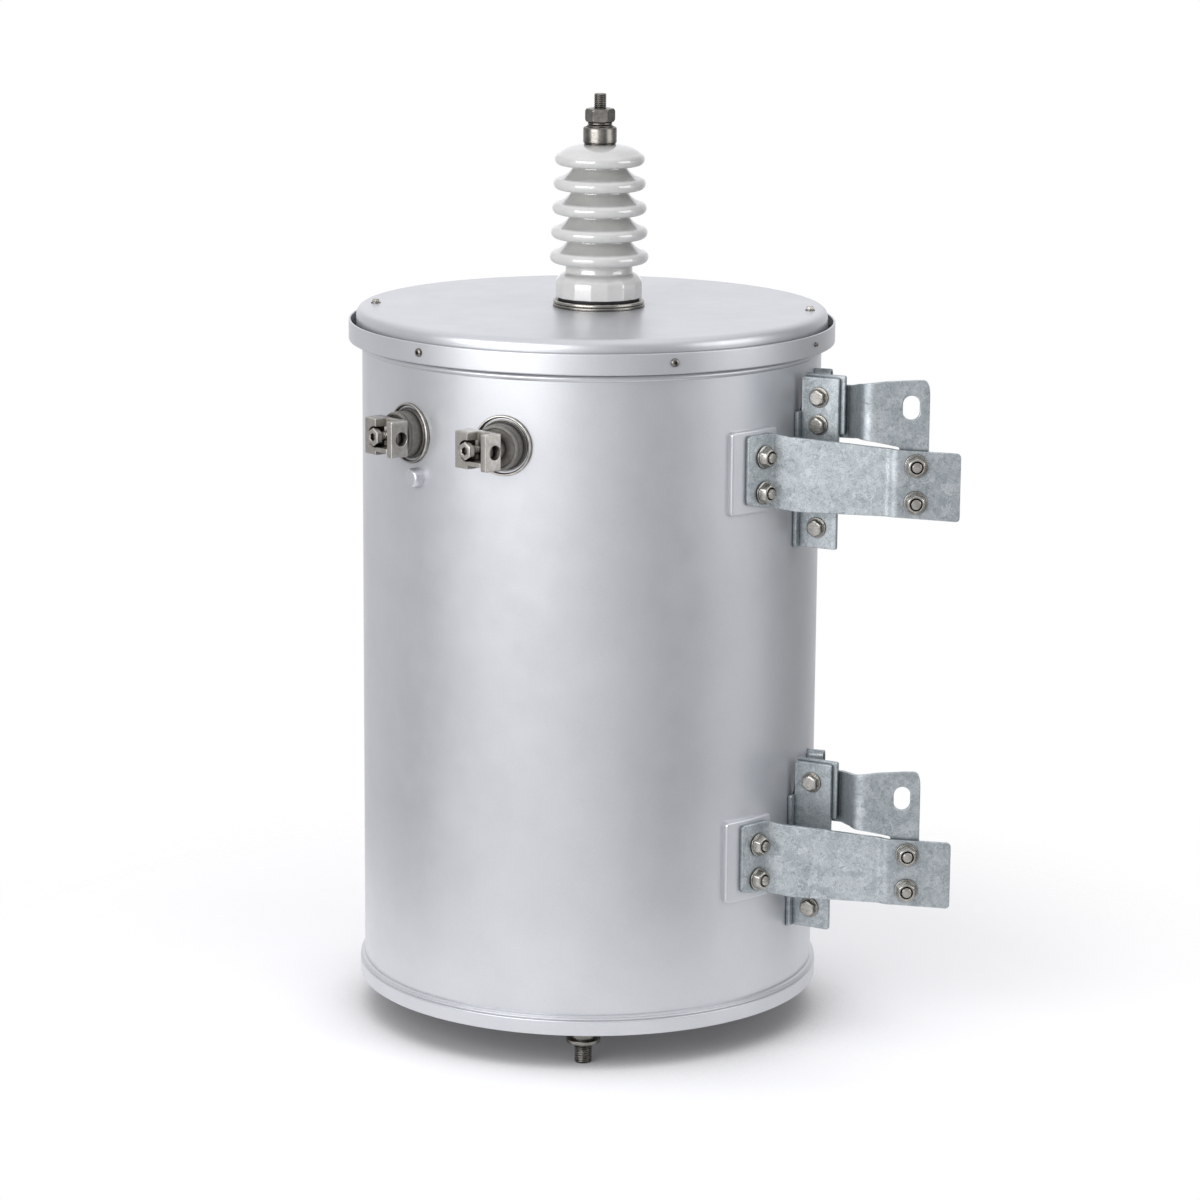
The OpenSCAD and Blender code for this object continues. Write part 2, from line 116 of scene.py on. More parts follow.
# Tip down, roll, and turn to the right, in radians.
CAMERA_DOWN, CAMERA_ROLL, CAMERA_RIGHT = 0.213546981, 0.00765751927, 0.00375887302


def make_camera():
    """Aim = level direction turned right, then tipped down; roll turns the picture about it."""
    data = bpy.data.cameras.new("camera")
    camera = bpy.data.objects.new("camera", data)
    bpy.context.collection.objects.link(camera)
    data.lens, data.sensor_width, data.clip_end = 120, 36, 100
    c, s = math.cos(CAMERA_DOWN), math.sin(CAMERA_DOWN)
    aim = Vector((math.sin(CAMERA_RIGHT) * c, math.cos(CAMERA_RIGHT) * c, -s))
    right = Vector((math.cos(CAMERA_RIGHT), -math.sin(CAMERA_RIGHT), 0))
    top = right.cross(aim)
    c, s = math.cos(CAMERA_ROLL), math.sin(CAMERA_ROLL)
    right, top = c * right + s * top, c * top - s * right
    turn = Matrix((right, top, -aim)).transposed().to_4x4()
    turn.translation = Vector(AXIS_FOOT) + MM * TANK_R * Vector(CAMERA_FROM_FOOT)
    camera.matrix_world = turn
    bpy.context.scene.camera = camera
    return camera


camera = make_camera()
print("camera at", [round(v, 3) for v in camera.matrix_world.translation])

# %% [markdown]
# ## How a surface becomes a mesh
# Nearly every piece here is a stack of closed loops: rings of a turned part, or sections of a
# bent plate. One helper joins neighbouring loops by four-sided faces and closes the ends,
# and it turns the faces outward by the sign of the volume they enclose. Corners are cut
# back to small arcs, because a real edge always catches a line of light.

# %% Mesh helpers
def enclosed(points, faces):
    """Volume inside triangles: the sum of a . (b x c) / 6."""
    a, b, c = points[faces[:, 0]], points[faces[:, 1]], points[faces[:, 2]]
    return float(np.einsum("ij,ij->i", a, np.cross(b, c)).sum() / 6)


def make_piece(name, points, quads, tris, sharp=35.0):
    """Object with its place in its mesh. Faces are turned so that the volume is positive."""
    middle = points - points.mean(0)
    halves = np.vstack([quads[:, [0, 1, 2]], quads[:, [0, 2, 3]], tris])
    if enclosed(middle, halves) < 0:
        quads, tris = quads[:, ::-1], tris[:, ::-1]
    mesh = bpy.data.meshes.new(name)
    mesh.from_pydata(points.tolist(), [], quads.tolist() + tris.tolist())
    mesh.shade_smooth()
    if sharp:
        mesh.set_sharp_from_angle(angle=math.radians(sharp))
    piece = bpy.data.objects.new(name, mesh)
    bpy.context.collection.objects.link(piece)
    if sharp:
        even = piece.modifiers.new("even_shading", "WEIGHTED_NORMAL")
        even.keep_sharp, even.weight = True, 80
    return piece


def skin(name, grid, stand, joined=False, sharp=35.0):
    """Closed skin: grid[i, j] is point j of loop i. Ends are fans about the loop's middle,
    unless the last loop joins the first."""
    rows, cols = grid.shape[:2]
    index = np.arange(rows * cols).reshape(rows, cols)
    here = index if joined else index[:-1]
    there = np.roll(index, -1, 0) if joined else index[1:]
    quads = np.stack([here, np.roll(here, -1, 1), np.roll(there, -1, 1), there], -1).reshape(-1, 4)
    points = grid.reshape(-1, 3)
    tris = np.zeros((0, 3), int)
    if not joined:
        points = np.vstack([points, grid[0].mean(0), grid[-1].mean(0)])
        first, last, n = index[0], index[-1], rows * cols
        tris = np.vstack([np.stack([np.full(cols, n), np.roll(first, -1), first], -1),
                          np.stack([np.full(cols, n + 1), last, np.roll(last, -1)], -1)])
    return make_piece(name, to_row(points, stand), quads, tris, sharp)


def eased(corners, radii, closed=False, steps=4):
    """Each corner c becomes the curve (1-t)^2 a + 2t(1-t) c + t^2 b, with a and b at the
    radius from c towards its neighbours. Extra columns of a corner are carried along."""
    corners = np.array(corners, float)
    radii = np.broadcast_to(np.asarray(radii, float), len(corners))
    before, after = np.roll(corners, 1, 0), np.roll(corners, -1, 0)
    if not closed:
        before[0], after[-1] = corners[0], corners[-1]

    def towards(other):
        step = (other - corners)[:, :2]
        far = np.linalg.norm(step, axis=1, keepdims=True)
        share = np.minimum(radii[:, None], 0.48 * far) / np.maximum(far, 1e-9)
        return corners + (other - corners) * share

    a, b = towards(before), towards(after)
    t = np.linspace(0, 1, steps + 1)[:, None, None]
    curve = (1 - t) ** 2 * a + 2 * t * (1 - t) * corners + t ** 2 * b
    curve = curve.transpose(1, 0, 2)
    if closed:
        return curve.reshape(-1, corners.shape[1])
    inner = curve[1:-1].reshape(-1, corners.shape[1])
    return np.vstack([corners[:1], inner, corners[-1:]])


def turned(name, profile, stand, facets=128, joined=False, sides=6, sharp=35.0):
    """Turned piece: (r, z) at angle t goes to (r cos t, r sin t, z). A third column says how
    many-sided a loop is, 0 round to 1 flat sided, and a fourth the widest its corners may be:
    r grows by share * (1 / cos(angle from the middle of the side) - 1)."""
    profile = np.asarray(profile, float)
    t = np.arange(facets) * 2 * np.pi / facets
    side = 2 * np.pi / sides
    secant = 1 / np.cos((t + side / 2) % side - side / 2) - 1
    r = np.repeat(profile[:, :1], facets, 1)
    if profile.shape[1] > 2:
        r = r * (1 + profile[:, 2:3] * secant)
    if profile.shape[1] > 3:
        r = np.minimum(r, profile[:, 3:4])
    grid = np.stack([r * np.cos(t), r * np.sin(t), np.repeat(profile[:, 1:2], facets, 1)], -1)
    return skin(name, grid, stand, joined, sharp)


print("mesh helpers ready")

# %% [markdown]
# ## Materials: nodes
# Each finish is a small node tree on the piece's own coordinates, so that its pattern has a
# real size: a texture scale is one over the size of its grain in metres. Colours are written
# as the hex values that a colour picker shows and turned into linear light by one function.

# %% Node helpers
def linear(hex_colour):
    """sRGB hex to linear: c / 12.92 below 0.04045, else ((c + 0.055) / 1.055) ^ 2.4."""
    c = np.array([int(hex_colour[i:i + 2], 16) / 255 for i in (1, 3, 5)])
    return (*np.where(c <= 0.04045, c / 12.92, ((c + 0.055) / 1.055) ** 2.4), 1.0)


def grain(mm):
    """Texture scale that makes features of that many millimetres."""
    return 1000.0 / mm


def add(tree, kind, settings=None, sockets=None):
    """Adds a node, sets its properties, and gives each named or numbered input a value or a link."""
    node = tree.nodes.new(kind)
    for key, value in (settings or {}).items():
        setattr(node, key, value)
    for key, value in (sockets or {}).items():
        if isinstance(value, bpy.types.NodeSocket):
            tree.links.new(value, node.inputs[key])
        else:
            node.inputs[key].default_value = value
    return node


def new_finish(name, **sockets):
    """Material with one Principled shader and the piece's own coordinates."""
    material = bpy.data.materials.new(name)
    material.use_nodes = True
    tree = material.node_tree
    tree.nodes.clear()
    shader = add(tree, "ShaderNodeBsdfPrincipled", None, {k.replace("_", " "): v for k, v in sockets.items()})
    add(tree, "ShaderNodeOutputMaterial", None, {"Surface": shader.outputs[0]})
    place = add(tree, "ShaderNodeTexCoord").outputs["Object"]
    return material, tree, shader, place


def noise(tree, place, mm, detail=3.0, rough=0.55, stretch=None, warp=0.0):
    """Noise of a grain in mm, 0 to 1. Stretch squeezes the place along its axes first."""
    if stretch:
        place = add(tree, "ShaderNodeMapping", None, {0: place, "Scale": stretch}).outputs[0]
    return add(tree, "ShaderNodeTexNoise", None, {"Vector": place, "Scale": grain(mm), "Detail": detail,
                                                 "Roughness": rough, "Distortion": warp}).outputs[0]


def span(tree, value, low, high, start=0.0, end=1.0):
    """Maps value from low..high to start..end, held at its ends."""
    return add(tree, "ShaderNodeMapRange", None, {0: value, 1: low, 2: high, 3: start, 4: end}).outputs[0]


def blend_colours(tree, share, first, second):
    """Mix of two colours, each a hex text or a socket."""
    pair = {k: linear(c) if isinstance(c, str) else c for k, c in ((6, first), (7, second))}
    return add(tree, "ShaderNodeMix", {"data_type": "RGBA"}, {0: share, **pair}).outputs[2]


def relief_of(tree, height, mm, strength=1.0, under=None):
    """Bump whose height socket, 0 to 1, stands for that many millimetres."""
    sockets = {"Height": height, "Distance": mm * MM, "Strength": strength}
    if under:
        sockets["Normal"] = under
    return add(tree, "ShaderNodeBump", None, sockets).outputs[0]


def painted_recess_shade(tree, base, mm, dark, low=0.45, high=0.95):
    """Painted shade in the recesses: the colour goes towards dark where less than high of the sky shows."""
    sky = add(tree, "ShaderNodeAmbientOcclusion", {"samples": 6}, {"Distance": mm * MM}).outputs["AO"]
    return blend_colours(tree, span(tree, sky, low, high), dark, base)


def wire(tree, shader, **sockets):
    """Links sockets of the shader by name."""
    for key, value in sockets.items():
        tree.links.new(value, shader.inputs[key.replace("_", " ")])


print("node helpers ready")

# %% [markdown]
# ## Paint, rubber and glaze
# The tank is sprayed with a silver grey enamel: a fine orange peel, a soft gloss, and flakes
# that make it darker where it turns away from the lamps. The gaskets are black nitrile
# rubber. The porcelain has a grey glaze, hard and wet looking, with faint clouds under it.

# %% Paint, rubber and glaze
def sprayed_enamel():
    """Colour drifts over 120 mm, flakes speckle at 1.4 mm (coarser than real ones, so that
    they show), and the orange peel is 2.2 mm wide and a few hundredths of a mm deep."""
    material, tree, shader, place = new_finish(
        "sprayed_silver_grey_enamel", Metallic=0.62, Roughness=0.36, Coat_Weight=0.22, Coat_Roughness=0.16)
    drift, flake = noise(tree, place, 120), noise(tree, place, 1.4, 2.0)
    base = blend_colours(tree, span(tree, drift, 0.3, 0.7), "#C4C6CA", "#CBCDD1")
    base = blend_colours(tree, span(tree, flake, 0.35, 0.8, 0.0, 0.35), base, "#DCDCDF")
    wire(tree, shader, Base_Color=base, Roughness=span(tree, noise(tree, place, 35), 0.3, 0.7, 0.33, 0.39),
         Normal=relief_of(tree, noise(tree, place, 2.2, 1.5), 0.035, 0.5))
    return material


def nitrile_rubber():
    """Nearly black and dull, with a dusty grey bloom."""
    material, tree, shader, place = new_finish("moulded_nitrile_rubber", Roughness=0.62)
    base = blend_colours(tree, span(tree, noise(tree, place, 9), 0.45, 0.8), "#141516", "#26272A")
    wire(tree, shader, Base_Color=base, Normal=relief_of(tree, noise(tree, place, 0.8), 0.05))
    return material


def glazed_porcelain():
    """Wet gloss from a clear coat; clouds of 25 mm and rare dark specks of kiln dust."""
    material, tree, shader, place = new_finish(
        "grey_glazed_porcelain", Roughness=0.2, IOR=1.52, Coat_Weight=1.0, Coat_IOR=1.9, Coat_Roughness=0.03)
    cloud = span(tree, noise(tree, place, 25, 2.0), 0.35, 0.7)
    speck = span(tree, noise(tree, place, 2.6, 1.0), 0.74, 0.79)
    base = blend_colours(tree, speck, blend_colours(tree, cloud, "#CBCBC9", "#D1D1CF"), "#A2A19E")
    # Painted shade: the glaze colour turns grey #9A9A97 under the sheds and in the necks, where little sky
    # shows.
    base = painted_recess_shade(tree, base, 30, "#9A9A97", 0.1, 0.6)
    wire(tree, shader, Base_Color=base, Normal=relief_of(tree, noise(tree, place, 14, 1.0), 0.06, 0.5))
    return material


ENAMEL, RUBBER, GLAZE = sprayed_enamel(), nitrile_rubber(), glazed_porcelain()
print([m.name for m in (ENAMEL, RUBBER, GLAZE)])

# %% [markdown]
# ## Bare metals
# The fastenings are stainless steel off the lathe, the low voltage clamps are bronze with a
# dull tin plating, and the brackets are dipped in molten zinc. Zinc freezes as crystals, the
# spangle: flat patches of 6 to 20 mm, each at its own tilt, so that neighbours look lighter
# or darker, with feathered streaks and thin curled veins over them.

# %% Bare metals
def turned_stainless(name, dark, light, rough):
    """Tool marks: noise squeezed along z, one mark per 0.7 mm, over slow stains of 12 mm."""
    material, tree, shader, place = new_finish(name, Metallic=1.0, Roughness=rough)
    marks = noise(tree, place, 20, 2.0, stretch=(1, 1, 28))
    stain = noise(tree, place, 12, 3.0)
    base = blend_colours(tree, span(tree, stain, 0.3, 0.7), dark, light)
    # Painted shade: the steel colour goes towards #3A3733 in recesses, where little sky shows.
    base = painted_recess_shade(tree, base, 9, "#3A3733")
    wire(tree, shader, Base_Color=base, Roughness=span(tree, marks, 0.3, 0.7, rough - 0.06, rough + 0.10),
         Normal=relief_of(tree, marks, 0.008, 0.5))
    return material


def tinned_bronze():
    """Satin grey-brown plating: cast skin of 1.6 mm grain, worn brighter in patches of 10 mm."""
    material, tree, shader, place = new_finish("tin_plated_cast_bronze", Metallic=1.0, Roughness=0.4)
    worn, skin_grain = noise(tree, place, 10, 4.0), noise(tree, place, 1.6, 2.0)
    base = blend_colours(tree, span(tree, worn, 0.3, 0.72), "#B4B0A9", "#DAD7D2")
    # Painted shade: the bronze colour goes towards #4A4640 in recesses, where little sky shows.
    base = painted_recess_shade(tree, base, 16, "#4A4640")
    wire(tree, shader, Base_Color=base, Roughness=span(tree, worn, 0.3, 0.7, 0.46, 0.33),
         Normal=relief_of(tree, skin_grain, 0.08, 0.6))
    return material


def moulded_resin():
    """Brown-grey cast resin with a satin skin, slightly mottled at 6 mm."""
    material, tree, shader, place = new_finish(
        "moulded_grey_resin", Roughness=0.4, IOR=1.5, Coat_Weight=0.3, Coat_Roughness=0.25)
    base = blend_colours(tree, span(tree, noise(tree, place, 6), 0.35, 0.7), "#6A6762", "#7D7A75")
    # Painted shade: the resin colour goes towards #2E2C2A in recesses, where little sky shows.
    base = painted_recess_shade(tree, base, 10, "#2E2C2A")
    wire(tree, shader, Base_Color=base, Normal=relief_of(tree, noise(tree, place, 1.2), 0.04, 0.5))
    return material


def hot_dip_zinc():
    """Spangle: cells of 17 mm and 7 mm, their edges warped by noise; feathers are noise
    stretched 3 times along z and bent; grey drift over 60 mm. Their sum is the tone, which also
    sets how blurred a cell is. Veins are a bent noise folded to and fro: dark at one fold and
    pale at the other."""
    material, tree, shader, place = new_finish("hot_dip_galvanised_steel", Metallic=0.86, Roughness=0.42)
    bend = add(tree, "ShaderNodeTexNoise", None,
               {"Vector": place, "Scale": grain(9), "Detail": 3.0}).outputs["Color"]
    pull = add(tree, "ShaderNodeVectorMath", {"operation": "MULTIPLY_ADD"},
               {0: bend, 1: (0.014, 0.014, 0.014), 2: place}).outputs[0]
    feather = noise(tree, pull, 6, 5.0, 0.7, stretch=(1.0, 1.0, 0.3), warp=1.6)
    parts = []
    for size, share in ((7, 0.42), (17, 0.5)):
        cell = add(tree, "ShaderNodeTexVoronoi", None, {"Vector": pull, "Scale": grain(size)})
        tilt = add(tree, "ShaderNodeSeparateColor", None, {0: cell.outputs["Color"]})
        parts.append((tilt.outputs[0], share))
    tone = feather
    for part, share in (*parts, (noise(tree, place, 60, 2.0), 0.5)):
        tone = add(tree, "ShaderNodeMath", {"operation": "MULTIPLY_ADD"},
                   {0: part, 1: share, 2: tone}).outputs[0]
    tone = span(tree, tone, 0.6, 1.8)
    swirl = noise(tree, place, 13, 2.0, 0.5, warp=1.9)
    vein = add(tree, "ShaderNodeMath", {"operation": "PINGPONG"}, {0: swirl, 1: 0.085}).outputs[0]
    base = blend_colours(tree, tone, "#959EA2", "#CDD3D6")
    base = blend_colours(tree, span(tree, vein, 0.0, 0.022, 0.6, 0.0), base, "#6E777B")
    base = blend_colours(tree, span(tree, vein, 0.06, 0.085, 0.0, 0.3), base, "#E3E7E9")
    # Painted shade: the zinc colour goes towards #5A6165 in recesses, where little sky shows.
    base = painted_recess_shade(tree, base, 8, "#5A6165", 0.35, 0.85)
    wire(tree, shader, Base_Color=base, Roughness=span(tree, tone, 0.0, 1.0, 0.5, 0.34),
         Normal=relief_of(tree, feather, 0.22, 0.35))
    return material


STAINLESS = turned_stainless("turned_stainless_steel", "#A5A29B", "#C4C1BB", 0.25)
DARK_STEEL = turned_stainless("oiled_turned_steel", "#75726C", "#989590", 0.26)
BRONZE, RESIN, ZINC = tinned_bronze(), moulded_resin(), hot_dip_zinc()
print([m.name for m in (STAINLESS, DARK_STEEL, BRONZE, RESIN, ZINC)])

# %% [markdown]
# ## Putting a piece in its place
# A finished piece stands where one solid of the frame stood. It gets its material, hangs under
# the root body and hides the solid it replaces, so that nothing shows twice. Most parts here are
# turned, so one more helper eases a profile, turns it and puts it in place.


def show(piece, material, node):
    """Gives a piece its material, hangs it under the root body and hides the solid it replaces."""
    piece.data.materials.append(material)
    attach(piece, "root")
    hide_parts(node)


def lathe(name, node, material, stand, corners, radii, facets=128, ring=True, sharp=35.0):
    """Turned piece from a profile with eased corners. A ring's profile is closed."""
    show(turned(name, eased(corners, radii, ring), stand, facets, ring, sharp=sharp), material, node)


def one(name, parts):
    """Joins pieces that are made alike, such as the screws round a rim, into one object."""
    bpy.context.view_layer.update()
    main = parts[0]
    with bpy.context.temp_override(active_object=main, selected_editable_objects=parts):
        bpy.ops.object.join()
    main.name = main.data.name = name
    return main


# %% [markdown]
# ## The tank
# Sheet steel is rolled to a cylinder and welded shut, a curb is welded on for the gasket and
# a ring is pressed round the foot. All of it is turned about one axis, so a profile carried
# once round says everything: the two beads on the foot ring and the bead under the curb are
# small arcs in those profiles.

# %% Tank shell, foot ring and bead
SHELL_TOP, CURB_R = TANK_H - 42, TANK_R + 12
BAND_LOW = TANK_H - 50
BEAD_Z, BEAD_R = BAND_LOW - 8, 5
FINE = 320   # facets of a large turning

lathe("tank_shell", "tank_body", ENAMEL, upright(),
      [(330, 20), (TANK_R, 20), (TANK_R, SHELL_TOP - 5), (CURB_R, SHELL_TOP - 5), (CURB_R, SHELL_TOP),
       (330, SHELL_TOP)], [0, 1, 1, 1, 1, 0], FINE, ring=False)
lathe("foot_ring", "base_ring", ENAMEL, upright(),
      [(346, 0), (357, 0), (357, 22.3), (354.2, 23.4), (356.9, 25.3), (354.4, 27.4), (356.0, 28.9),
       (352, 31), (348, 31), (346, 20)], [0.8, 1.6, 1.6, 0.5, 1.5, 0.5, 1.5, 1.4, 0.8, 0.8], FINE, sharp=50)
a = np.radians(np.linspace(-80, 80, 13))
bead = np.stack([TANK_R - 1 + BEAD_R * np.cos(a), BEAD_Z + BEAD_R * np.sin(a)], -1)
bead = np.vstack([bead, [(TANK_R - 2, BEAD_Z)]])
show(turned("rolled_bead", bead, upright(), FINE, True), ENAMEL, "top_rim")

# %% [markdown]
# ## Cover, gasket and clamp band
# The cover is pressed from one sheet, so its edge is a soft round and not a corner. A band
# of angle section hooks under the curb and is drawn tight round the skirt with screws. A dark
# slot stays between the two, where the rubber shows.

# %% Cover, gasket and clamp band
COVER_LOW, COVER_R = SHELL_TOP + 6, 359
BAND_R, BAND_IN, BAND_TOP = 370.4, 367.2, BAND_LOW + 31

lathe("cover_gasket_ring", "cover_gasket", RUBBER, upright(),
      [(320, SHELL_TOP), (367.3, SHELL_TOP), (367.3, COVER_LOW), (320, COVER_LOW)], 0.8, FINE)
pressed = eased([(300, COVER_LOW), (COVER_R, COVER_LOW), (COVER_R, TANK_H), (280, TANK_H)],
                [0, 1.2, 15, 0], steps=9)
show(turned("pressed_cover", pressed, upright(), FINE), ENAMEL, "cover")
lathe("clamp_band_hoop", "clamp_band", ENAMEL, upright(),
      [(353, BAND_LOW), (BAND_R, BAND_LOW), (BAND_R, BAND_TOP), (BAND_IN, BAND_TOP),
       (BAND_IN, BAND_LOW + 3), (353, BAND_LOW + 3)], [0.6, 2.0, 1.5, 1.2, 1.0, 0.6], FINE)
print("clamp band", BAND_TOP - BAND_LOW, "mm high")

# %% [markdown]
# ## Small fastenings of the tank
# Screws close the band, two bolts sit on the cover's edge and a plug on the wall lets gas
# out. Each head is a turning. A hexagon is a turning whose radius follows the flats, so its
# corners can be turned off by a limit on the radius, as a lathe does it.

# %% Small fastenings of the tank
def screw_dome(name, stand, r):
    """Round head with a drive hole: a low dome over a short wall, dished in the middle."""
    rows = [(r, -1, 0), (r, 1.5, 0), (0.8 * r, 3.7, 0), (0.48 * r, 4.3, 0), (0.36 * r, 4.2, 1),
            (0.34 * r, 2.2, 1)]
    return turned(name, eased(rows, [0, 0.9, 0.9, 0.3, 0.2, 0]), stand, 48)


def small_bolt(name, stand):
    """Washer of 15 mm under a hexagon head of 10 mm with its corners turned off."""
    rows = [(7.5, -0.5, 0, 9), (7.5, 1.5, 0, 9), (5.2, 1.6, 1, 5.8), (5.0, 5.0, 1, 5.8), (4.4, 6.0, 0, 5.0)]
    return turned(name, eased(rows, [0, 0.5, 0.2, 0.6, 0.3]), stand, 48)


heads = [screw_dome("band_screw", on_wall(bearing, BAND_R - 0.2, BAND_LOW + 17), r)
         for bearing, r in ((-43, 6.5), (18.8, 6.5), (63.6, 3.5))]
show(one("band_screws", heads), DARK_STEEL, "clamp_band_screws")
bolts = [small_bolt("cover_bolt", upright(x, y, TANK_H)) for x, y in ((-330, 12), (330, -36))]
show(one("cover_bolt_heads", bolts), STAINLESS, "cover_bolts")
lathe("relief_plug_cap", "relief_plug", ENAMEL, on_wall(-46.9, TANK_R - 2, TANK_H - 223.5),
      [(14.5, -1), (14.5, 13.0), (11.8, 17.5), (5, 17.5)], [0, 2.6, 2.4, 0], 96, ring=False)

# %% [markdown]
# ## Threads
# A thread is a cylinder whose radius rises and falls once per turn while it climbs one pitch.
# So the radius is a wave of height over pitch minus the share of a turn, and the end is
# cut back by a cone as on a real stud. Pitches are a little coarse, so that they read.

# %% Threads
def threaded(name, r, low, high, pitch, stand, chamfer=1.5, facets=72):
    """Radius at (t, z) = r less 0.4 pitch times a triangle wave of (z / pitch - t / turn) with
    flat crests and roots, and less a cone at the end."""
    t = np.arange(facets) * 2 * np.pi / facets
    z = np.linspace(low, high, int((high - low) / pitch * 8) + 1)[:, None]
    wave = np.abs(2 * ((z / pitch - t / (2 * np.pi)) % 1) - 1)
    wide = r - 0.4 * pitch * np.clip(1.5 * wave - 0.25, 0, 1)
    wide = np.minimum(wide, r - chamfer + np.maximum(high - z, 0))
    grid = np.stack([wide * np.cos(t), wide * np.sin(t), np.repeat(z, facets, 1)], -1)
    return skin(name, grid, stand, sharp=None)


stud_stand = hanging(-6, -0.9 * TANK_R, 0)
flange = turned("stud_flange", eased(
    [(19, -19), (19, 14.8), (25.9, 15), (26, 20.6), (19.5, 22.2), (17, 25), (10, 25)],
    [0, 0.3, 0.8, 1.6, 1.0, 0.8, 0]), stud_stand, 96)
thread = threaded("stud_thread", 13.4, 24, 52.4, 3.6, stud_stand)
show(one("earth_stud_under_tank", [flange, thread]), DARK_STEEL, "base_stud")

# %% [markdown]
# ## High voltage bushing
# A porcelain body is turned wet on a lathe, with rain sheds that keep a dry path down to the
# cover. Each shed has a thick round rim, a hollow upper side that runs up to the next neck
# and an undercut below. The foot is pressed with sixteen flats. The profile is worked out
# shed by shed, and the flats come from the turning's third column.

# %% Porcelain
BUSHING = upright(10, 0, TANK_H)
RIM, FIRST_SHED, PITCH, SHEDS = 9.5, 75.1, 37.0, 5


def shed_profile(i):
    """Undercut, half round rim, then the upper side as a quadratic curve to the next neck."""
    z, edge, neck = FIRST_SHED + PITCH * i, 75.3 - 1.75 * i, 51 - 2.4 * i
    under = np.array([(neck, z - 7.0), (neck + 3.2, z - 8.6), (neck + 8, z - 9.3)])
    a = np.radians(np.linspace(-90, 68, 15))
    rim = np.stack([edge - RIM + RIM * np.cos(a), z + RIM * np.sin(a)], -1)
    last = i == SHEDS - 1
    end = np.array([(24.0, z + 22.5) if last else (neck - 2.4, z + 23.5)])
    pull = np.array([(49.0, z + 20.5) if last else (neck + 4.5, z + 12.0)])
    t = np.linspace(0.1, 1, 10)[:, None]
    top = (1 - t) ** 2 * rim[-1] + 2 * t * (1 - t) * pull + t ** 2 * end
    return np.vstack([under, rim, top])


foot = eased([(50, 14.1, 0), (65.2, 14.1, 1), (65.2, 39.5, 1), (58.5, 48.0, 0.25), (51, 51.5, 0),
              (51, 60, 0)], [0, 1.6, 3.5, 4, 3, 0])
sheds = np.vstack([shed_profile(i) for i in range(SHEDS)])
body = np.vstack([foot, np.hstack([sheds, np.zeros((len(sheds), 1))])])
show(turned("porcelain_body", body, BUSHING, 192, sides=16, sharp=None), GLAZE, "hv_porcelain")
print("porcelain profile points:", len(body))

# %% [markdown]
# ## Metal parts of the bushing
# A grooved ring holds the foot on the cover over a black gasket. On top sit a turned collar,
# two washers, a nut and the stud that takes the line's clamp.

# %% Ring, gasket, collar, washers, nut and stud
COLLAR_Z = FIRST_SHED + PITCH * (SHEDS - 1) + 22.5
WASHER_Z, NUT_Z, STUD_TOP = COLLAR_Z + 26, COLLAR_Z + 33, COLLAR_Z + 76


def raised(stand, mm):
    """The same stand moved along its own z."""
    return stand[0] + mm * stand[1][2], stand[1]


def front_flat(stand):
    """The same stand turned by 30 degrees, so that a hexagon shows a flat to the front."""
    c, s = math.cos(math.radians(30)), math.sin(math.radians(30))
    return stand[0], np.array([[c, s, 0], [-s, c, 0], [0, 0, 1]]) @ stand[1]


lathe("bushing_ring", "hv_base_ring", STAINLESS, BUSHING,
      [(55, 0), (70, 0), (70, 3.9), (68.2, 4.8), (69.4, 5.8), (69.4, 8.8), (67.6, 10), (55, 10)],
      [0.4, 0.7, 0.9, 0.4, 0.7, 0.8, 0.8, 0.4], 192, sharp=50)
lathe("bushing_gasket", "hv_gasket", RUBBER, BUSHING,
      [(40, 9.9), (61.8, 9.9), (61.8, 14.1), (40, 14.1)], 0.5)
collar = eased([(9.9, 0), (23.8, 0), (23.9, 2.0), (25.4, 2.6), (25.4, 24), (24, 26), (21.8, 26),
                (21.2, 24.4), (9.9, 24.4)], [0, 0.4, 0.3, 0.7, 1.6, 0.9, 0.6, 0.4, 0])
show(turned("line_collar", collar, raised(BUSHING, COLLAR_Z), 128, True), DARK_STEEL, "hv_collar")
lathe("line_washers", "hv_washers", DARK_STEEL, raised(BUSHING, WASHER_Z),
      [(9.9, -1.5), (19.4, -1.4), (20.4, 0.2), (19.6, 2.5), (16.2, 2.9), (16.2, 3.2), (18.4, 3.7),
       (18.5, 6.2), (17.6, 7), (9.9, 7)], [0.2, 0.8, 0.8, 0.8, 0.3, 0.2, 0.7, 0.7, 0.5, 0.2], 96)
lathe("line_nut", "hv_nut", DARK_STEEL, front_flat(raised(BUSHING, NUT_Z)),
      [(9.5, 0.4, 0, 30), (17.6, 0.0, 0.6, 19.4), (19.6, 0.7, 1, 20.8), (19.7, 3.6, 1, 22.7),
       (19.7, 17.4, 1, 22.7), (19.6, 20.3, 1, 20.8), (17.0, 21, 0.2, 18.4), (11.4, 21, 0, 30),
       (9.5, 19.6, 0, 30)], [0.2, 0.5, 0.9, 1.6, 1.6, 0.9, 0.8, 0.5, 0.2], 120, sharp=28)
show(threaded("line_stud", 9.5, COLLAR_Z + 1, STUD_TOP, 2.9, BUSHING), DARK_STEEL, "hv_stud")
print("bushing top at", STUD_TOP, "mm over the cover")

# %% [markdown]
# ## Low voltage bushings
# A bright ring holds a resin sleeve in the wall. The ring has a lip and a groove, and the
# groove makes the dark line round the sleeve. Both are turnings on a stand that looks outward.

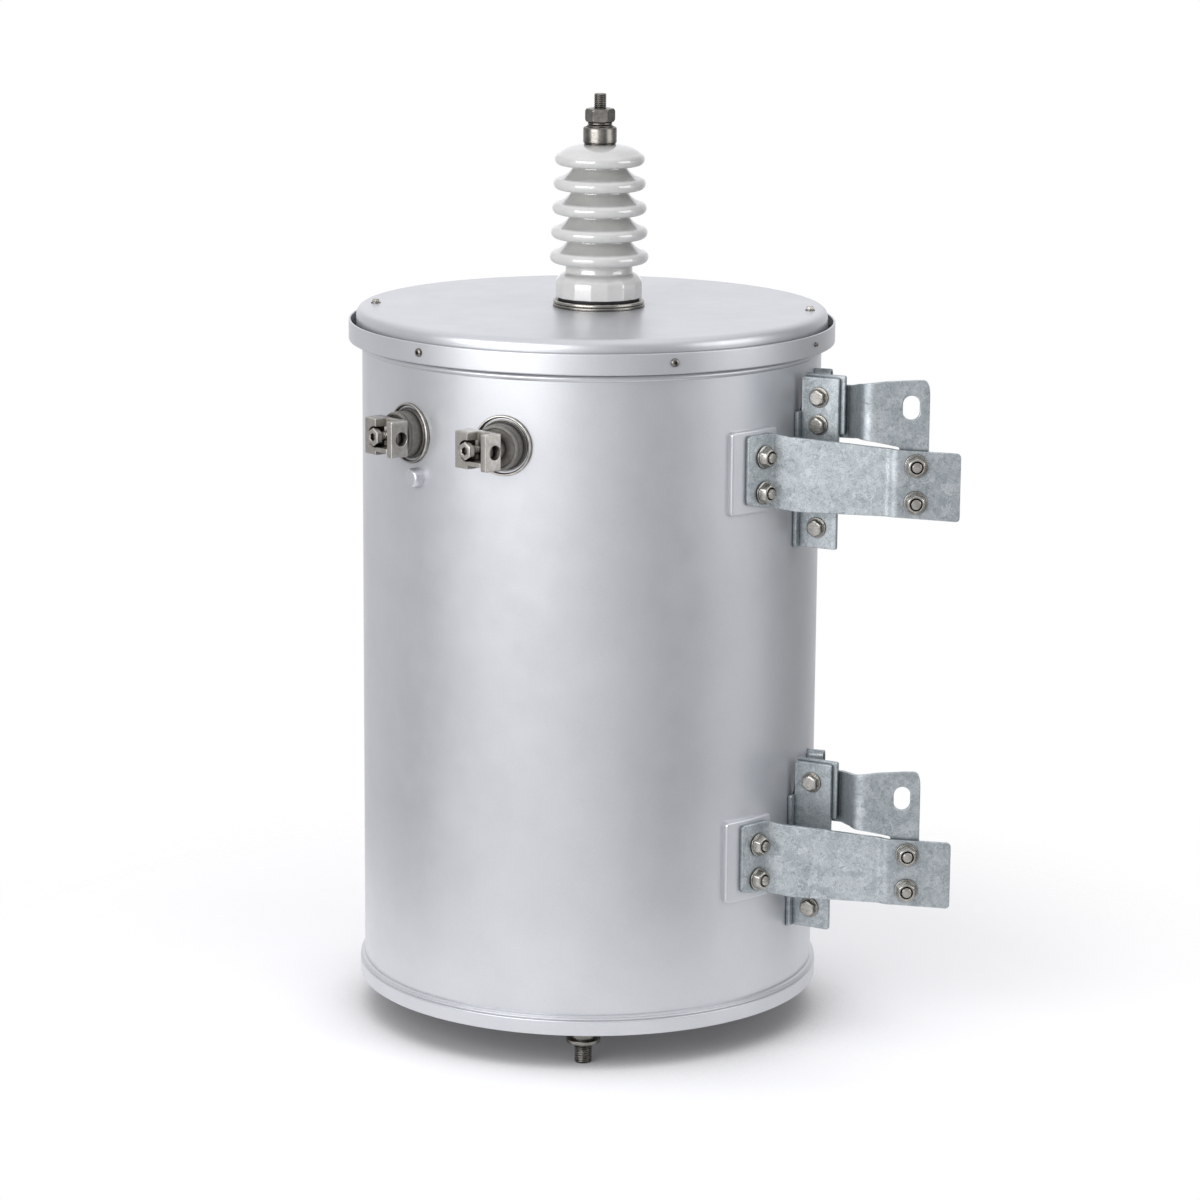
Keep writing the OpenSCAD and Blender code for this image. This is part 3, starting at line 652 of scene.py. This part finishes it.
# %% Rings and sleeves
SLEEVE = 28.0    # length of the sleeve outside the wall
LV_Z = TANK_H - 160
LV = {"lv1": dict(bearing=-50, turn=0, shift=-1.5, off=0),
      "lv2": dict(bearing=-21.5, turn=-23, shift=-16.5, off=12)}
for side, pose in LV.items():
    wall_stand = on_wall(pose["bearing"], TANK_R, LV_Z)
    lathe(side + "_lipped_ring", side + "_ring", BRONZE, wall_stand,
          [(36.6, -9), (45, -9), (45, 2.9), (43.6, 4), (42.0, 4), (40.9, 2.8), (40.5, -2.5),
           (38.4, -2.5), (38.2, 1.2), (36.6, 1.2)],
          [0.3, 0.3, 1.0, 0.7, 0.7, 0.7, 0.2, 0.2, 0.5, 0.2], 144)
    lathe(side + "_resin_sleeve", side + "_sleeve", RESIN, wall_stand,
          [(36.4, -9), (36.4, 0.2), (34, 1.6), (34, 18.5), (32.4, 19.6), (32.4, 21.2), (33.9, 22.4),
           (33.9, 26.4), (32.6, SLEEVE), (29.6, SLEEVE), (28.6, SLEEVE - 2), (12, SLEEVE - 2)],
          [0, 0.6, 0.8, 0.8, 0.5, 0.5, 0.9, 1.4, 0.7, 0.7, 0.7, 0], 144, ring=False)
print("bearings of the low voltage bushings:", [pose["bearing"] for pose in LV.values()])

# %% [markdown]
# ## Clamp castings
# The clamp is a block beside an open jaw, with a round pocket for the screw and a ledge low
# in the jaw. Such a casting can be cut from solids, but its soft edges come for free when its
# front is a height over a flat grid: each step is a smooth ramp, and the rim falls off in an
# arc. The border of that sheet is then carried back to a flat rear face.

# %% Front of a clamp
BLOCK, JAW, PLATE, HALF = 26.5, 27.0, 11.5, 27.0   # widths of block, jaw and plate, half height
BACK, FLOOR, POCKET, FACE = 4.0, 13.0, 18.0, 34.0  # depths from the sleeve's end
SCREW_X, POCKET_R, RIM_ROUND = -3, 15, 1.8


def ramp(distance, width=1.4):
    """0 below -width / 2, 1 above width / 2, and 3u^2 - 2u^3 between."""
    u = np.clip(distance / width + 0.5, 0, 1)
    return u * u * (3 - 2 * u)


def clamp_front(x, y):
    """Jaw floor, raised to the face over the block and the ledge, sunk to the pocket round
    the screw, and rounded along the rim."""
    ledge = np.minimum(np.minimum(y + 22, -14 - y), x + 6)
    h = FLOOR + (FACE - FLOOR) * np.maximum(ramp(-x), ramp(ledge))
    h = h + (np.minimum(h, POCKET) - h) * ramp(POCKET_R - np.hypot(x - SCREW_X, y))
    rim = np.minimum(np.minimum(x + BLOCK, JAW - x), np.minimum(y + HALF, HALF - y))
    near = RIM_ROUND - np.minimum(rim, RIM_ROUND)
    return h - (RIM_ROUND - np.sqrt(RIM_ROUND ** 2 - near ** 2))


def casting(name, x, y, height, back, stand):
    """Sheet z = height(x, y) over a grid, its border carried down to z = back and closed."""
    gx, gy = np.meshgrid(x, y, indexing="ij")
    points = np.stack([gx, gy, height(gx, gy)], -1).reshape(-1, 3)
    index = np.arange(gx.size).reshape(gx.shape)
    border = np.concatenate([index[:, 0], index[-1, 1:], index[-2::-1, -1], index[0, -2:0:-1]])
    rear = points[border] * (1, 1, 0) + (0, 0, back)
    low = len(points) + np.arange(len(border))
    middle = np.full(len(border), len(points) + len(border))
    quads = np.stack([index[:-1, :-1], index[1:, :-1], index[1:, 1:], index[:-1, 1:]], -1).reshape(-1, 4)
    sides = np.stack([border, low, np.roll(low, -1), np.roll(border, -1)], -1)
    fan = np.stack([np.roll(low, -1), low, middle], -1)
    points = np.vstack([points, rear, rear.mean(0)])
    return make_piece(name, to_row(points, stand), np.vstack([quads, sides]), fan, None)


print("clamp face", BLOCK + JAW + PLATE, "x", 2 * HALF, "mm")

# %% [markdown]
# The casting stands on a stub in the sleeve. Its screw has a hexagon head with a drive hole,
# and turns of thread show in the pocket behind it.

# %% Castings and clamp screws
def on_sleeve(pose, shift=0.0):
    """Stand of a clamp: on the sleeve's end, turned and moved as its pose says."""
    bearing, turn, across, off = (pose[key] for key in ("bearing", "turn", "shift", "off"))
    return on_wall(bearing, TANK_R, LV_Z, turn, across + shift, SLEEVE + off)


for side, pose in LV.items():
    block = casting(side + "_casting", np.linspace(-BLOCK, JAW, 135), np.linspace(-HALF, HALF, 136),
                    clamp_front, BACK, on_sleeve(pose))
    stub = turned("stub", [(15.5, -2), (15.5, 6 + 1.05 * pose["off"])],
                  on_wall(pose["bearing"], TANK_R, LV_Z, off=SLEEVE), 64)
    show(one(side + "_clamp_casting", [block, stub]), BRONZE, side + "_terminal")
    screw_stand = on_sleeve(pose, SCREW_X)
    rows = [(8, 28, 0, 30), (11.2, 28.1, 0.5, 12.6), (12, 29, 1, 13.8), (12, 35.8, 1, 13.8),
            (11.4, 37.6, 1, 12.2), (9.6, 38, 0, 30), (6.4, 38, 0, 30), (5.2, 37.2, 1, 30), (5.0, 33, 1, 30)]
    head = turned("head", eased(rows, [0, 0.5, 0.8, 1.0, 0.8, 0.6, 0.5, 0.4, 0]), screw_stand, 96, sharp=28)
    shank = threaded("shank", 8, 10, 29, 3.4, screw_stand, chamfer=0.2)
    show(one(side + "_clamp_screw", [head, shank]), BRONZE, side + "_screw")

# %% [markdown]
# ## Plates with a hole
# The clamp plates and the hanger arms are plates with one opening. Such a plate can be
# drilled by a boolean, but then its edges stay sharp. Here both outlines get the same number
# of points and the skin runs once through the section: front, outer edge, back, inner edge.
# Each edge is a quarter round, laid along the outline's own normal.

# %% Plates with a hole
def evenly(outline, spacing, closed=True):
    """Each side of length L gets L / spacing equal steps, rounded, and at least one. Points of
    the outline itself are kept."""
    sides = (np.roll(outline, -1, 0) - outline)[:None if closed else -1]
    n = np.maximum(1, (np.linalg.norm(sides, axis=1) / spacing + 0.5).astype(int))
    of_side = np.repeat(np.arange(len(sides)), n)
    k = np.arange(n.sum()) - np.repeat(np.cumsum(n) - n, n)
    points = outline[of_side] + sides[of_side] * (k / n[of_side])[:, None]
    return points if closed else np.vstack([points, outline[-1:]])


def outward_of(outline):
    """Unit normals that point away from the inside of a closed outline."""
    after = np.roll(outline, -1, 0)
    step = after - np.roll(outline, 1, 0)
    normal = np.stack([step[:, 1], -step[:, 0]], -1)
    area = np.sum(outline[:, 0] * after[:, 1] - after[:, 0] * outline[:, 1])
    return np.sign(area) * normal / np.linalg.norm(normal, axis=1, keepdims=True)


def pierced(outer, inner, t, ease=1.1, steps=4):
    """Grid of (u, v, w): loops from the hole's front edge over the front, round the rim and
    back behind. The plate lies between w = -t / 2 and t / 2."""
    out_n, in_n = outward_of(outer), outward_of(inner)
    a = np.radians(np.linspace(0, 90, 5))
    loops = [(inner + in_n * ease * (1 - np.cos(x)), t / 2 - ease * (1 - np.sin(x))) for x in a]
    near, far = inner + in_n * ease, outer - out_n * ease
    loops += [(near + (far - near) * k / steps, t / 2) for k in range(1, steps)]
    loops += [(outer - out_n * ease * (1 - np.cos(x)), t / 2 - ease * (1 - np.sin(x))) for x in a[::-1]]
    front = [np.hstack([p, np.full((len(p), 1), w)]) for p, w in loops]
    return np.array(front + [g * (1, 1, -1) for g in front[::-1]])


def stadium(directions, r, straight):
    """Where rays from the middle meet an upright slot: its sides at x = r, its ends round."""
    c, s = np.abs(directions[:, 0]), np.abs(directions[:, 1])
    side = r / np.maximum(c, 1e-9)
    end = straight * s + np.sqrt(np.maximum(r ** 2 - (straight * c) ** 2, 0))
    return directions * np.where(side * s <= straight, side, end)[:, None]


def holed_outline(corners, radii, centre, r, straight, spacing):
    """Outer outline about the hole's centre, and the point of the hole on each of its rays."""
    outer = evenly(eased(corners, radii, True, 5), spacing) - centre
    inner = stadium(outer / np.linalg.norm(outer, axis=1, keepdims=True), r, straight)
    return outer, inner


LUG_DEPTH, LUG_R = 15.5, 10.5   # the cable's hole: depth over the sleeve's end, radius
side_face = [(BACK, -HALF), (FACE, -HALF), (FACE, HALF), (BACK, HALF)]
drilled = pierced(*holed_outline(side_face, 2.2, (LUG_DEPTH, 0), LUG_R, 0, 1.5), PLATE, 1.2)
depth, up, across = np.moveaxis(drilled, -1, 0)
drilled = np.stack([JAW + PLATE / 2 + across, up, depth + LUG_DEPTH], -1)
for side, pose in LV.items():
    show(skin(side + "_drilled_plate", drilled, on_sleeve(pose), True, None), BRONZE, side + "_clamp_plate")

# %% [markdown]
# ## Bent plates
# Strap, bar and pad are flat bar, cut and bent in a press. In plan a bent plate is a path
# with a thickness, and each place on the path has its own lower and upper edge. Rounded
# sections are set along the path and shrink towards both ends, which rounds the end faces too.

# %% Bent plates
def travelled(path):
    """Length along a path up to each of its points."""
    return np.concatenate([[0], np.cumsum(np.linalg.norm(np.diff(path, axis=0), axis=1))])


def along(path, s):
    """Place and normal at lengths s of a path, both interpolated between its points."""
    have = travelled(path)
    slope = np.gradient(path, have, axis=0)
    slope /= np.linalg.norm(slope, axis=1, keepdims=True)
    place = np.stack([np.interp(s, have, path[:, k]) for k in (0, 1)], -1)
    n = np.stack([-np.interp(s, have, slope[:, 1]), np.interp(s, have, slope[:, 0])], -1)
    return place, n / np.linalg.norm(n, axis=-1, keepdims=True)


def fine_path(corners, radii, spacing=3.0, steps=6):
    """Path with its corners eased, repeated points dropped and points every few mm between."""
    path = eased(corners, radii, False, steps)
    moves = np.linalg.norm(np.diff(path, axis=0), axis=1) > 1e-3
    return evenly(path[np.concatenate([[True], moves])], spacing, False)


def bent_plate(name, path, t, low, high, stand, ease=1.2, corner=5.0):
    """Sections along a plan path between low and high, which are heights or functions of s. Near
    an end at distance d, a round of radius R takes R - sqrt(R^2 - (R - d)^2) off."""
    length = travelled(path)[-1]
    a = np.radians(np.linspace(0, 90, 6))
    ends = np.concatenate([ease * (1 - np.cos(a)), corner * (1 - np.cos(a))])
    s = np.unique(np.concatenate([ends, length - ends, travelled(path)]).round(4))
    s = s[np.concatenate([[True], np.diff(s) > 0.02])]
    near = np.minimum(s, length - s)

    def taken(r):
        d = np.clip(r - near, 0, r)
        return (r - np.sqrt(r ** 2 - d ** 2))[:, None]

    def height(edge):
        return (edge(s) if callable(edge) else np.full(len(s), edge))[:, None]

    a = np.radians(np.linspace(0, 90, 5))
    inwards, sinking = ease * (1 - np.cos(a)), ease * (1 - np.sin(a))
    side = t / 2 - taken(ease) - inwards
    top, bottom = height(high) - taken(corner) - sinking, height(low) + taken(corner) + sinking
    w = np.hstack([side, -side[:, ::-1], -side, side[:, ::-1]])
    z = np.hstack([top, top[:, ::-1], bottom, bottom[:, ::-1]])
    place, n = along(path, s)
    plan = place[:, None, :] + n[:, None, :] * w[..., None]
    return skin(name, np.concatenate([plan, z[..., None]], -1), stand, False, 40)


def bearing_point(r, bearing, right=0.0):
    """Plan point at a bearing and radius, moved along the wall to the right."""
    b = math.radians(bearing)
    return np.array([r * math.sin(b) + right * math.cos(b), -r * math.cos(b) + right * math.sin(b)])


def wall_arc(r, first, last, n=24):
    """Plan points round the wall between two bearings."""
    return np.array([bearing_point(r, b) for b in np.linspace(first, last, n)])


print("bent plate helpers ready")

# %% [markdown]
# ## Hanger brackets
# Each bracket is a pad welded on the shell, an angle bar beside it, an arm bolted behind the
# bar that carries the slot for the pole bolt, and a strap in front that ties pad and arm. All
# heights count from the slot. This cell makes the pad and the strap: the strap leaves the
# pad's curve at a bend, runs straight to the arm and narrows on its way.

# %% Pad and strap
SLOT_X, ARM_FRONT, BAR_AZ = TANK_R + 117.4, -0.8 * TANK_R, 61.5
SLOT_Z = {"upper": TANK_H - 108.4, "lower": TANK_H - 108.4 - 590.5}
SHEET, ARM_T = 7, 8                              # thickness of strap, bar and rear plate, and of the arm
FOOT_R, FOOT_END = TANK_R + 12.6, 45.5           # the strap's middle on the pad, and where it bends
STRAP_Y, ARM_Y = ARM_FRONT - SHEET / 2, ARM_FRONT + ARM_T / 2


def strap_edges(path):
    """Lower and upper edge of the strap: straight lines between heights at places x."""
    have = travelled(path)

    def edge(x, heights):
        return lambda s: np.interp(np.interp(s, have, path[:, 0]), x, heights)

    low = edge([0, 223.2, 266, 304.5, SLOT_X - 22, SLOT_X + 74],
               [-145, -145, -156, -161.2, -162.1, -168.7])
    return low, edge([0, 262.5, 290.5, SLOT_X - 22, SLOT_X + 90], [-43, -43.5, -49, -61.2, -67.8])


def pad_and_strap(name, z):
    """The pad follows the shell; the strap's path has its bends at the pad and at the arm."""
    stand = upright(z=z)
    show(bent_plate(name + "_welded_pad", wall_arc(TANK_R + 3, 35, 50), 12, -162.3, -36.2, stand, 3.2, 7),
         ENAMEL, name + "_pad")
    path = fine_path([*wall_arc(FOOT_R, 39, FOOT_END, 8), bearing_point(FOOT_R, FOOT_END, 14),
                      (SLOT_X - 31, ARM_FRONT + 4), (SLOT_X - 22, STRAP_Y), (SLOT_X + 74, STRAP_Y)],
                     [0] + [0.4] * 7 + [13, 5, 5, 0])
    low, high = strap_edges(path)
    show(bent_plate(name + "_hanger_strap", path, SHEET, low, high, stand, 1.6, 6), ZINC, name + "_strap")


print("slot heights", SLOT_Z)

# %% [markdown]
# The bar is an angle: its narrow flange lies on the shell and its web stands out from it. The
# flange stops lower than the web, so the upper edge climbs at the bend. A short plate lies
# behind the web, and the arm's root is bolted on behind that.

# %% Bar and rear plate
def bar_and_rear_plate(name, z):
    """Web and plate run outwards at the bar's bearing, side by side."""
    half = SHEET / 2
    path = fine_path([*wall_arc(TANK_R + half, 59.5, 61.2, 5), bearing_point(TANK_R + half, BAR_AZ, half),
                      bearing_point(TANK_R + 66, BAR_AZ, half)], [0, 0.4, 0.4, 0.4, 0.4, 6, 0], 2.0)
    turn = np.argmin(np.linalg.norm(path - bearing_point(TANK_R + 5, BAR_AZ, half), axis=1))
    bend = travelled(path)[turn]
    show(bent_plate(name + "_angle_bar", path, SHEET, -229.4, lambda s: -23 + 52 * ramp(s - bend, 3.0),
                    upright(z=z), 1.4, 3), ZINC, name + "_bar")
    path = fine_path([bearing_point(TANK_R + r, BAR_AZ, 3 * half) for r in (7, 73)], 0)
    show(bent_plate(name + "_rear_plate", path, SHEET, -55, 33, upright(z=z), 1.4, 3),
         ZINC, name + "_backing_plate")


print("bar's bearing", BAR_AZ)

# %% [markdown]
# The arm is drawn flat with its slot and then carried round its two bends: u runs along the
# path, v is the height, w is the offset across the plate. The small clip behind it is a
# strip folded over a round, standing on the shell.

# %% Arm and clip
def arm_grid(path):
    """The pierced plate in (s, z), bent along the path."""
    heel, ridge, slot = np.interp([1.1 * TANK_R, SLOT_X - 69, SLOT_X], path[:, 0], travelled(path))
    corners = [(0, 17.2), (heel, 18.5), (ridge, 34), (slot - 37, 38.5), (slot + 7, 40.5),
               (slot + 27, 40.5), (slot + 27, -155), (slot - 16, -155), (slot - 16, -58.5),
               (ridge, -47.5), (heel, -61), (0, -61.9)]
    radii = [4, 12, 20, 10, 3, 24, 4, 4, 4, 20, 12, 4]
    flat = pierced(*holed_outline(corners, radii, (slot, 0), 12.5, 5.5, 2.5), ARM_T, 1.3, 44)
    place, n = along(path, flat[..., 0] + slot)
    return np.concatenate([place - n * flat[..., 2:], flat[..., 1:2]], -1)


def arm_and_clip(name, z):
    """The arm's root lies behind the rear plate, its flat at the slot looks to the front."""
    path = fine_path([bearing_point(TANK_R + 12, BAR_AZ, 18), bearing_point(TANK_R + 79, BAR_AZ, 18),
                      (SLOT_X - 69, ARM_Y), (SLOT_X + 27, ARM_Y)], [0, 6, 15, 0], 2.0, 10)
    show(skin(name + "_hanger_arm", arm_grid(path), upright(z=z), True, None), ZINC, name + "_arm")
    fold, half, leg = np.linspace(np.pi, 0, 17), 7.7, -41
    bow = np.stack([half * np.cos(fold), 21 + half * np.sin(fold)], -1)
    path = fine_path([(-half, leg), *bow, (half, leg)], 0)
    stand = on_wall(BAR_AZ + 12, TANK_R + 26, z)
    show(bent_plate(name + "_folded_clip", path, 2.5, -26.1, 0, stand, 0.6, 1.5), ZINC, name + "_clip")


print("arm's front face at y", ARM_FRONT)

# %% [markdown]
# ## Nuts and bolts of the brackets
# One profile serves each kind: a washer, then a hexagon whose corners are turned off, then
# the end of a stud. The strap nuts are domed, the bar bolts have flat heads.

# %% Nuts and bolts of the brackets
def strap_nut(name, stand, back):
    """Washer of 35 mm, domed nut of 28 mm across flats, 14 high, and the stud's thread."""
    rows = [(17.4, -0.3, 0, 30), (17.4, 2.5, 0, 30), (15.0, 2.9, 0.2, 15.6), (14.2, 3.6, 0.9, 15.9),
            (13.3, 9.0, 0.9, 14.8), (12.0, 13.3, 0.5, 12.9), (11.2, 14.0, 0, 30), (9.6, 14.0, 0, 30),
            (9.0, 13.2, 0, 30), (8.8, 9.0, 0, 30)]
    nut = turned(name, eased(rows, [0, 0.8, 0.3, 0.6, 1.5, 0.7, 0.4, 0.4, 0.4, 0]), stand, 96, sharp=50)
    end = threaded("end", 7.4, 8.0, 17, 2.2, stand, chamfer=1.4)
    tail = turned("tail", eased([(7.8, -back), (7.8, 0.5)], [0.8, 0]), stand, 48)
    return one(name, [nut, end, tail])


def bar_bolt(name, stand, through):
    """Washer of 31 mm, hexagon of 22 mm across flats with a raised round face, shank."""
    rows = [(15.4, -0.3, 0, 30), (15.4, 2.4, 0, 30), (12.0, 2.6, 0.3, 12.4), (11.0, 3.2, 1, 12.7),
            (11.0, 9.4, 1, 12.7), (10.9, 11.3, 0.7, 11.4), (9.8, 11.6, 0, 30), (9.4, 12, 0, 30),
            (6, 12, 0, 30)]
    head = turned(name, eased(rows, [0, 0.7, 0.3, 0.5, 1.4, 0.6, 0.3, 0.3, 0]), stand, 96, sharp=28)
    origin, axes = raised(stand, -through)
    shank = threaded("shank", 5.9, -4, 3, 1.8, (origin, axes * [[1], [-1], [-1]]), chamfer=1.0, facets=48)
    return one(name, [head, shank])


def on_bar(z, off):
    """Stand on the bar's left face: its z looks along the wall to the left."""
    origin, (right, up, out) = on_wall(BAR_AZ, TANK_R, z)
    return origin + off * out, np.array([out, up, -right])


def fastenings(name, z, bolt_heights):
    """Two nuts on the pad, two on the arm, looking to the front, and the bolts of the bar."""
    nuts = [strap_nut("pad_nut", on_wall(44.2, FOOT_R + 3.9, z + h), 7) for h in (-77.1, -130.5)]
    show(one(name + "_nuts_on_pad", nuts), STAINLESS, name + "_pad_nuts")
    nuts = [strap_nut("arm_nut", on_wall(0, SHEET - ARM_FRONT, z + h, shift=SLOT_X + 8.5), 15)
            for h in (-85.1, -139.9)]
    show(one(name + "_nuts_on_arm", nuts), STAINLESS, name + "_arm_nuts")
    bolts = [bar_bolt("bar_bolt", on_bar(z + h, 34), 22 if h > -50 else 7) for h in bolt_heights]
    show(one(name + "_bolts_on_bar", bolts), STAINLESS, name + "_bar_bolts")


BAR_BOLTS = {"upper": (-1, -42.6, -197.7), "lower": (-1, -197.7)}
for name, z in SLOT_Z.items():
    pad_and_strap(name, z)
    bar_and_rear_plate(name, z)
    arm_and_clip(name, z)
    fastenings(name, z, BAR_BOLTS[name])

# %% [markdown]
# ## Studio
# A white room seen by reflection: the enamel needs something to mirror. The room is light
# behind the camera's left and at the far right, and dim between, which gives the tank its
# soft bands. Two softboxes add the crisp white shapes in the glaze and the shadows below.

# %% Room and lamps
ROOM = [(-30, -22, 66, 0.55), (80, -10, 27, 0.5), (-150, 5, 60, 0.35), (170, 12, 48, 0.5), (0, 90, 75, 0.8)]


def direction(bearing, height):
    """Unit vector to a bearing b and a height h in degrees: (sin b cos h, -cos b cos h, sin h)."""
    b, h = math.radians(bearing), math.radians(height)
    return Vector((math.sin(b) * math.cos(h), -math.cos(b) * math.cos(h), math.sin(h)))


def soft_room(lobes, base, backdrop):
    """World: base plus lobes, each (bearing, height, half width in degrees, strength), where a
    lobe falls from its middle as a smooth step of the angle's cosine. The camera sees backdrop."""
    world = bpy.data.worlds.new("studio_room")
    bpy.context.scene.world = world
    world.use_nodes = True
    tree = world.node_tree
    tree.nodes.clear()
    place = add(tree, "ShaderNodeTexCoord").outputs["Generated"]
    total = base
    for bearing, height, width, strength in lobes:
        dot = add(tree, "ShaderNodeVectorMath", {"operation": "DOT_PRODUCT"},
                  {0: place, 1: direction(bearing, height)}).outputs["Value"]
        lobe = add(tree, "ShaderNodeMapRange", {"interpolation_type": "SMOOTHSTEP"},
                   {0: dot, 1: math.cos(math.radians(width)), 2: 1.0, 3: 0.0, 4: strength}).outputs[0]
        total = add(tree, "ShaderNodeMath", {"operation": "ADD"}, {0: total, 1: lobe}).outputs[0]
    room = add(tree, "ShaderNodeBackground", None, {"Color": linear("#FCFCFF"), "Strength": total})
    behind = add(tree, "ShaderNodeBackground", None, {"Color": (1, 1, 1, 1), "Strength": backdrop})
    seen = add(tree, "ShaderNodeLightPath").outputs["Is Camera Ray"]
    mix = add(tree, "ShaderNodeMixShader", None, {0: seen, 1: room.outputs[0], 2: behind.outputs[0]})
    add(tree, "ShaderNodeOutputWorld", None, {0: mix.outputs[0]})


def softbox(name, bearing, height, far, wide, tall, watts, aim=0.55):
    """Area lamp far metres from a point aim metres up the tank's axis, turned to that point."""
    data = bpy.data.lights.new(name, "AREA")
    data.shape, data.size, data.size_y, data.energy = "RECTANGLE", wide, tall, watts
    lamp = bpy.data.objects.new(name, data)
    bpy.context.collection.objects.link(lamp)
    target = Vector(AXIS_FOOT) + Vector((0, 0, aim))
    lamp.location = target + far * direction(bearing, height)
    lamp.rotation_euler = (target - lamp.location).to_track_quat("-Z", "Y").to_euler()


soft_room(ROOM, base=0.28, backdrop=1.0)
softbox("key_softbox", -38, 19, far=3.0, wide=2.6, tall=1.6, watts=54)
softbox("fill_softbox", 66, 18, far=3.2, wide=1.9, tall=1.5, watts=20)

# %% [markdown]
# ## Floor
# The tank stands on a round sheet of white paper. Near the foot, where less of the sky shows, a
# painted shadow darkens the paper's colour, which grounds the tank. Further out it turns clear,
# so that it runs into the white behind it without an edge.

# %% Floor
FLOOR_R, FADE_FROM, FADE_TO = 9, 0.6, 1.3   # metres from the middle


def fading_paper(middle):
    """White with hardly any cloud, with a painted grey shadow where under 0.7 of the sky shows within
    0.42 m, and mixed with clear by a smooth step of the distance from the middle."""
    paper, tree, shader, place = new_finish("white_studio_paper", Roughness=0.9,
                                            Emission_Color=(1, 1, 1, 1), Emission_Strength=0.06)
    white = blend_colours(tree, noise(tree, place, 400), "#F6F6F7", "#F8F8F8")
    sky = add(tree, "ShaderNodeAmbientOcclusion", {"samples": 8}, {"Distance": 0.42}).outputs["AO"]
    # Painted shadow: the paper's colour goes towards grey #9C9C9E near the tank, where little sky shows.
    wire(tree, shader, Base_Color=blend_colours(tree, span(tree, sky, 0.25, 0.7), "#9C9C9E", white))
    far = add(tree, "ShaderNodeVectorMath", {"operation": "DISTANCE"}, {0: place, 1: middle}).outputs["Value"]
    fade = add(tree, "ShaderNodeMapRange", {"interpolation_type": "SMOOTHSTEP"},
               {0: far, 1: FADE_FROM, 2: FADE_TO}).outputs[0]
    clear = add(tree, "ShaderNodeBsdfTransparent").outputs[0]
    seen = add(tree, "ShaderNodeMixShader", None, {0: fade, 1: shader.outputs[0], 2: clear}).outputs[0]
    tree.links.new(seen, tree.nodes["Material Output"].inputs["Surface"])
    return paper


a = np.arange(96) * 2 * np.pi / 96
circle = np.stack([FLOOR_R * np.cos(a), FLOOR_R * np.sin(a), np.full(96, cad_box[0].z - 0.0002)], -1)
circle = circle + AXIS_FOOT * (1, 1, 0)
floor_mesh = bpy.data.meshes.new("studio_floor")
floor_mesh.from_pydata(circle.tolist(), [], [list(range(96))])
floor_mesh.materials.append(fading_paper(circle.mean(0)))
floor = bpy.data.objects.new("studio_floor", floor_mesh)
bpy.context.collection.objects.link(floor)
bpy.context.scene.view_settings.view_transform = "Standard"
print("floor at z", round(float(circle[0, 2]), 4))

# %% [markdown]
# The finished look must fill the same box as the solids. The last cell brings the view layer
# up to date.

# %% Finish
bpy.context.view_layer.update()
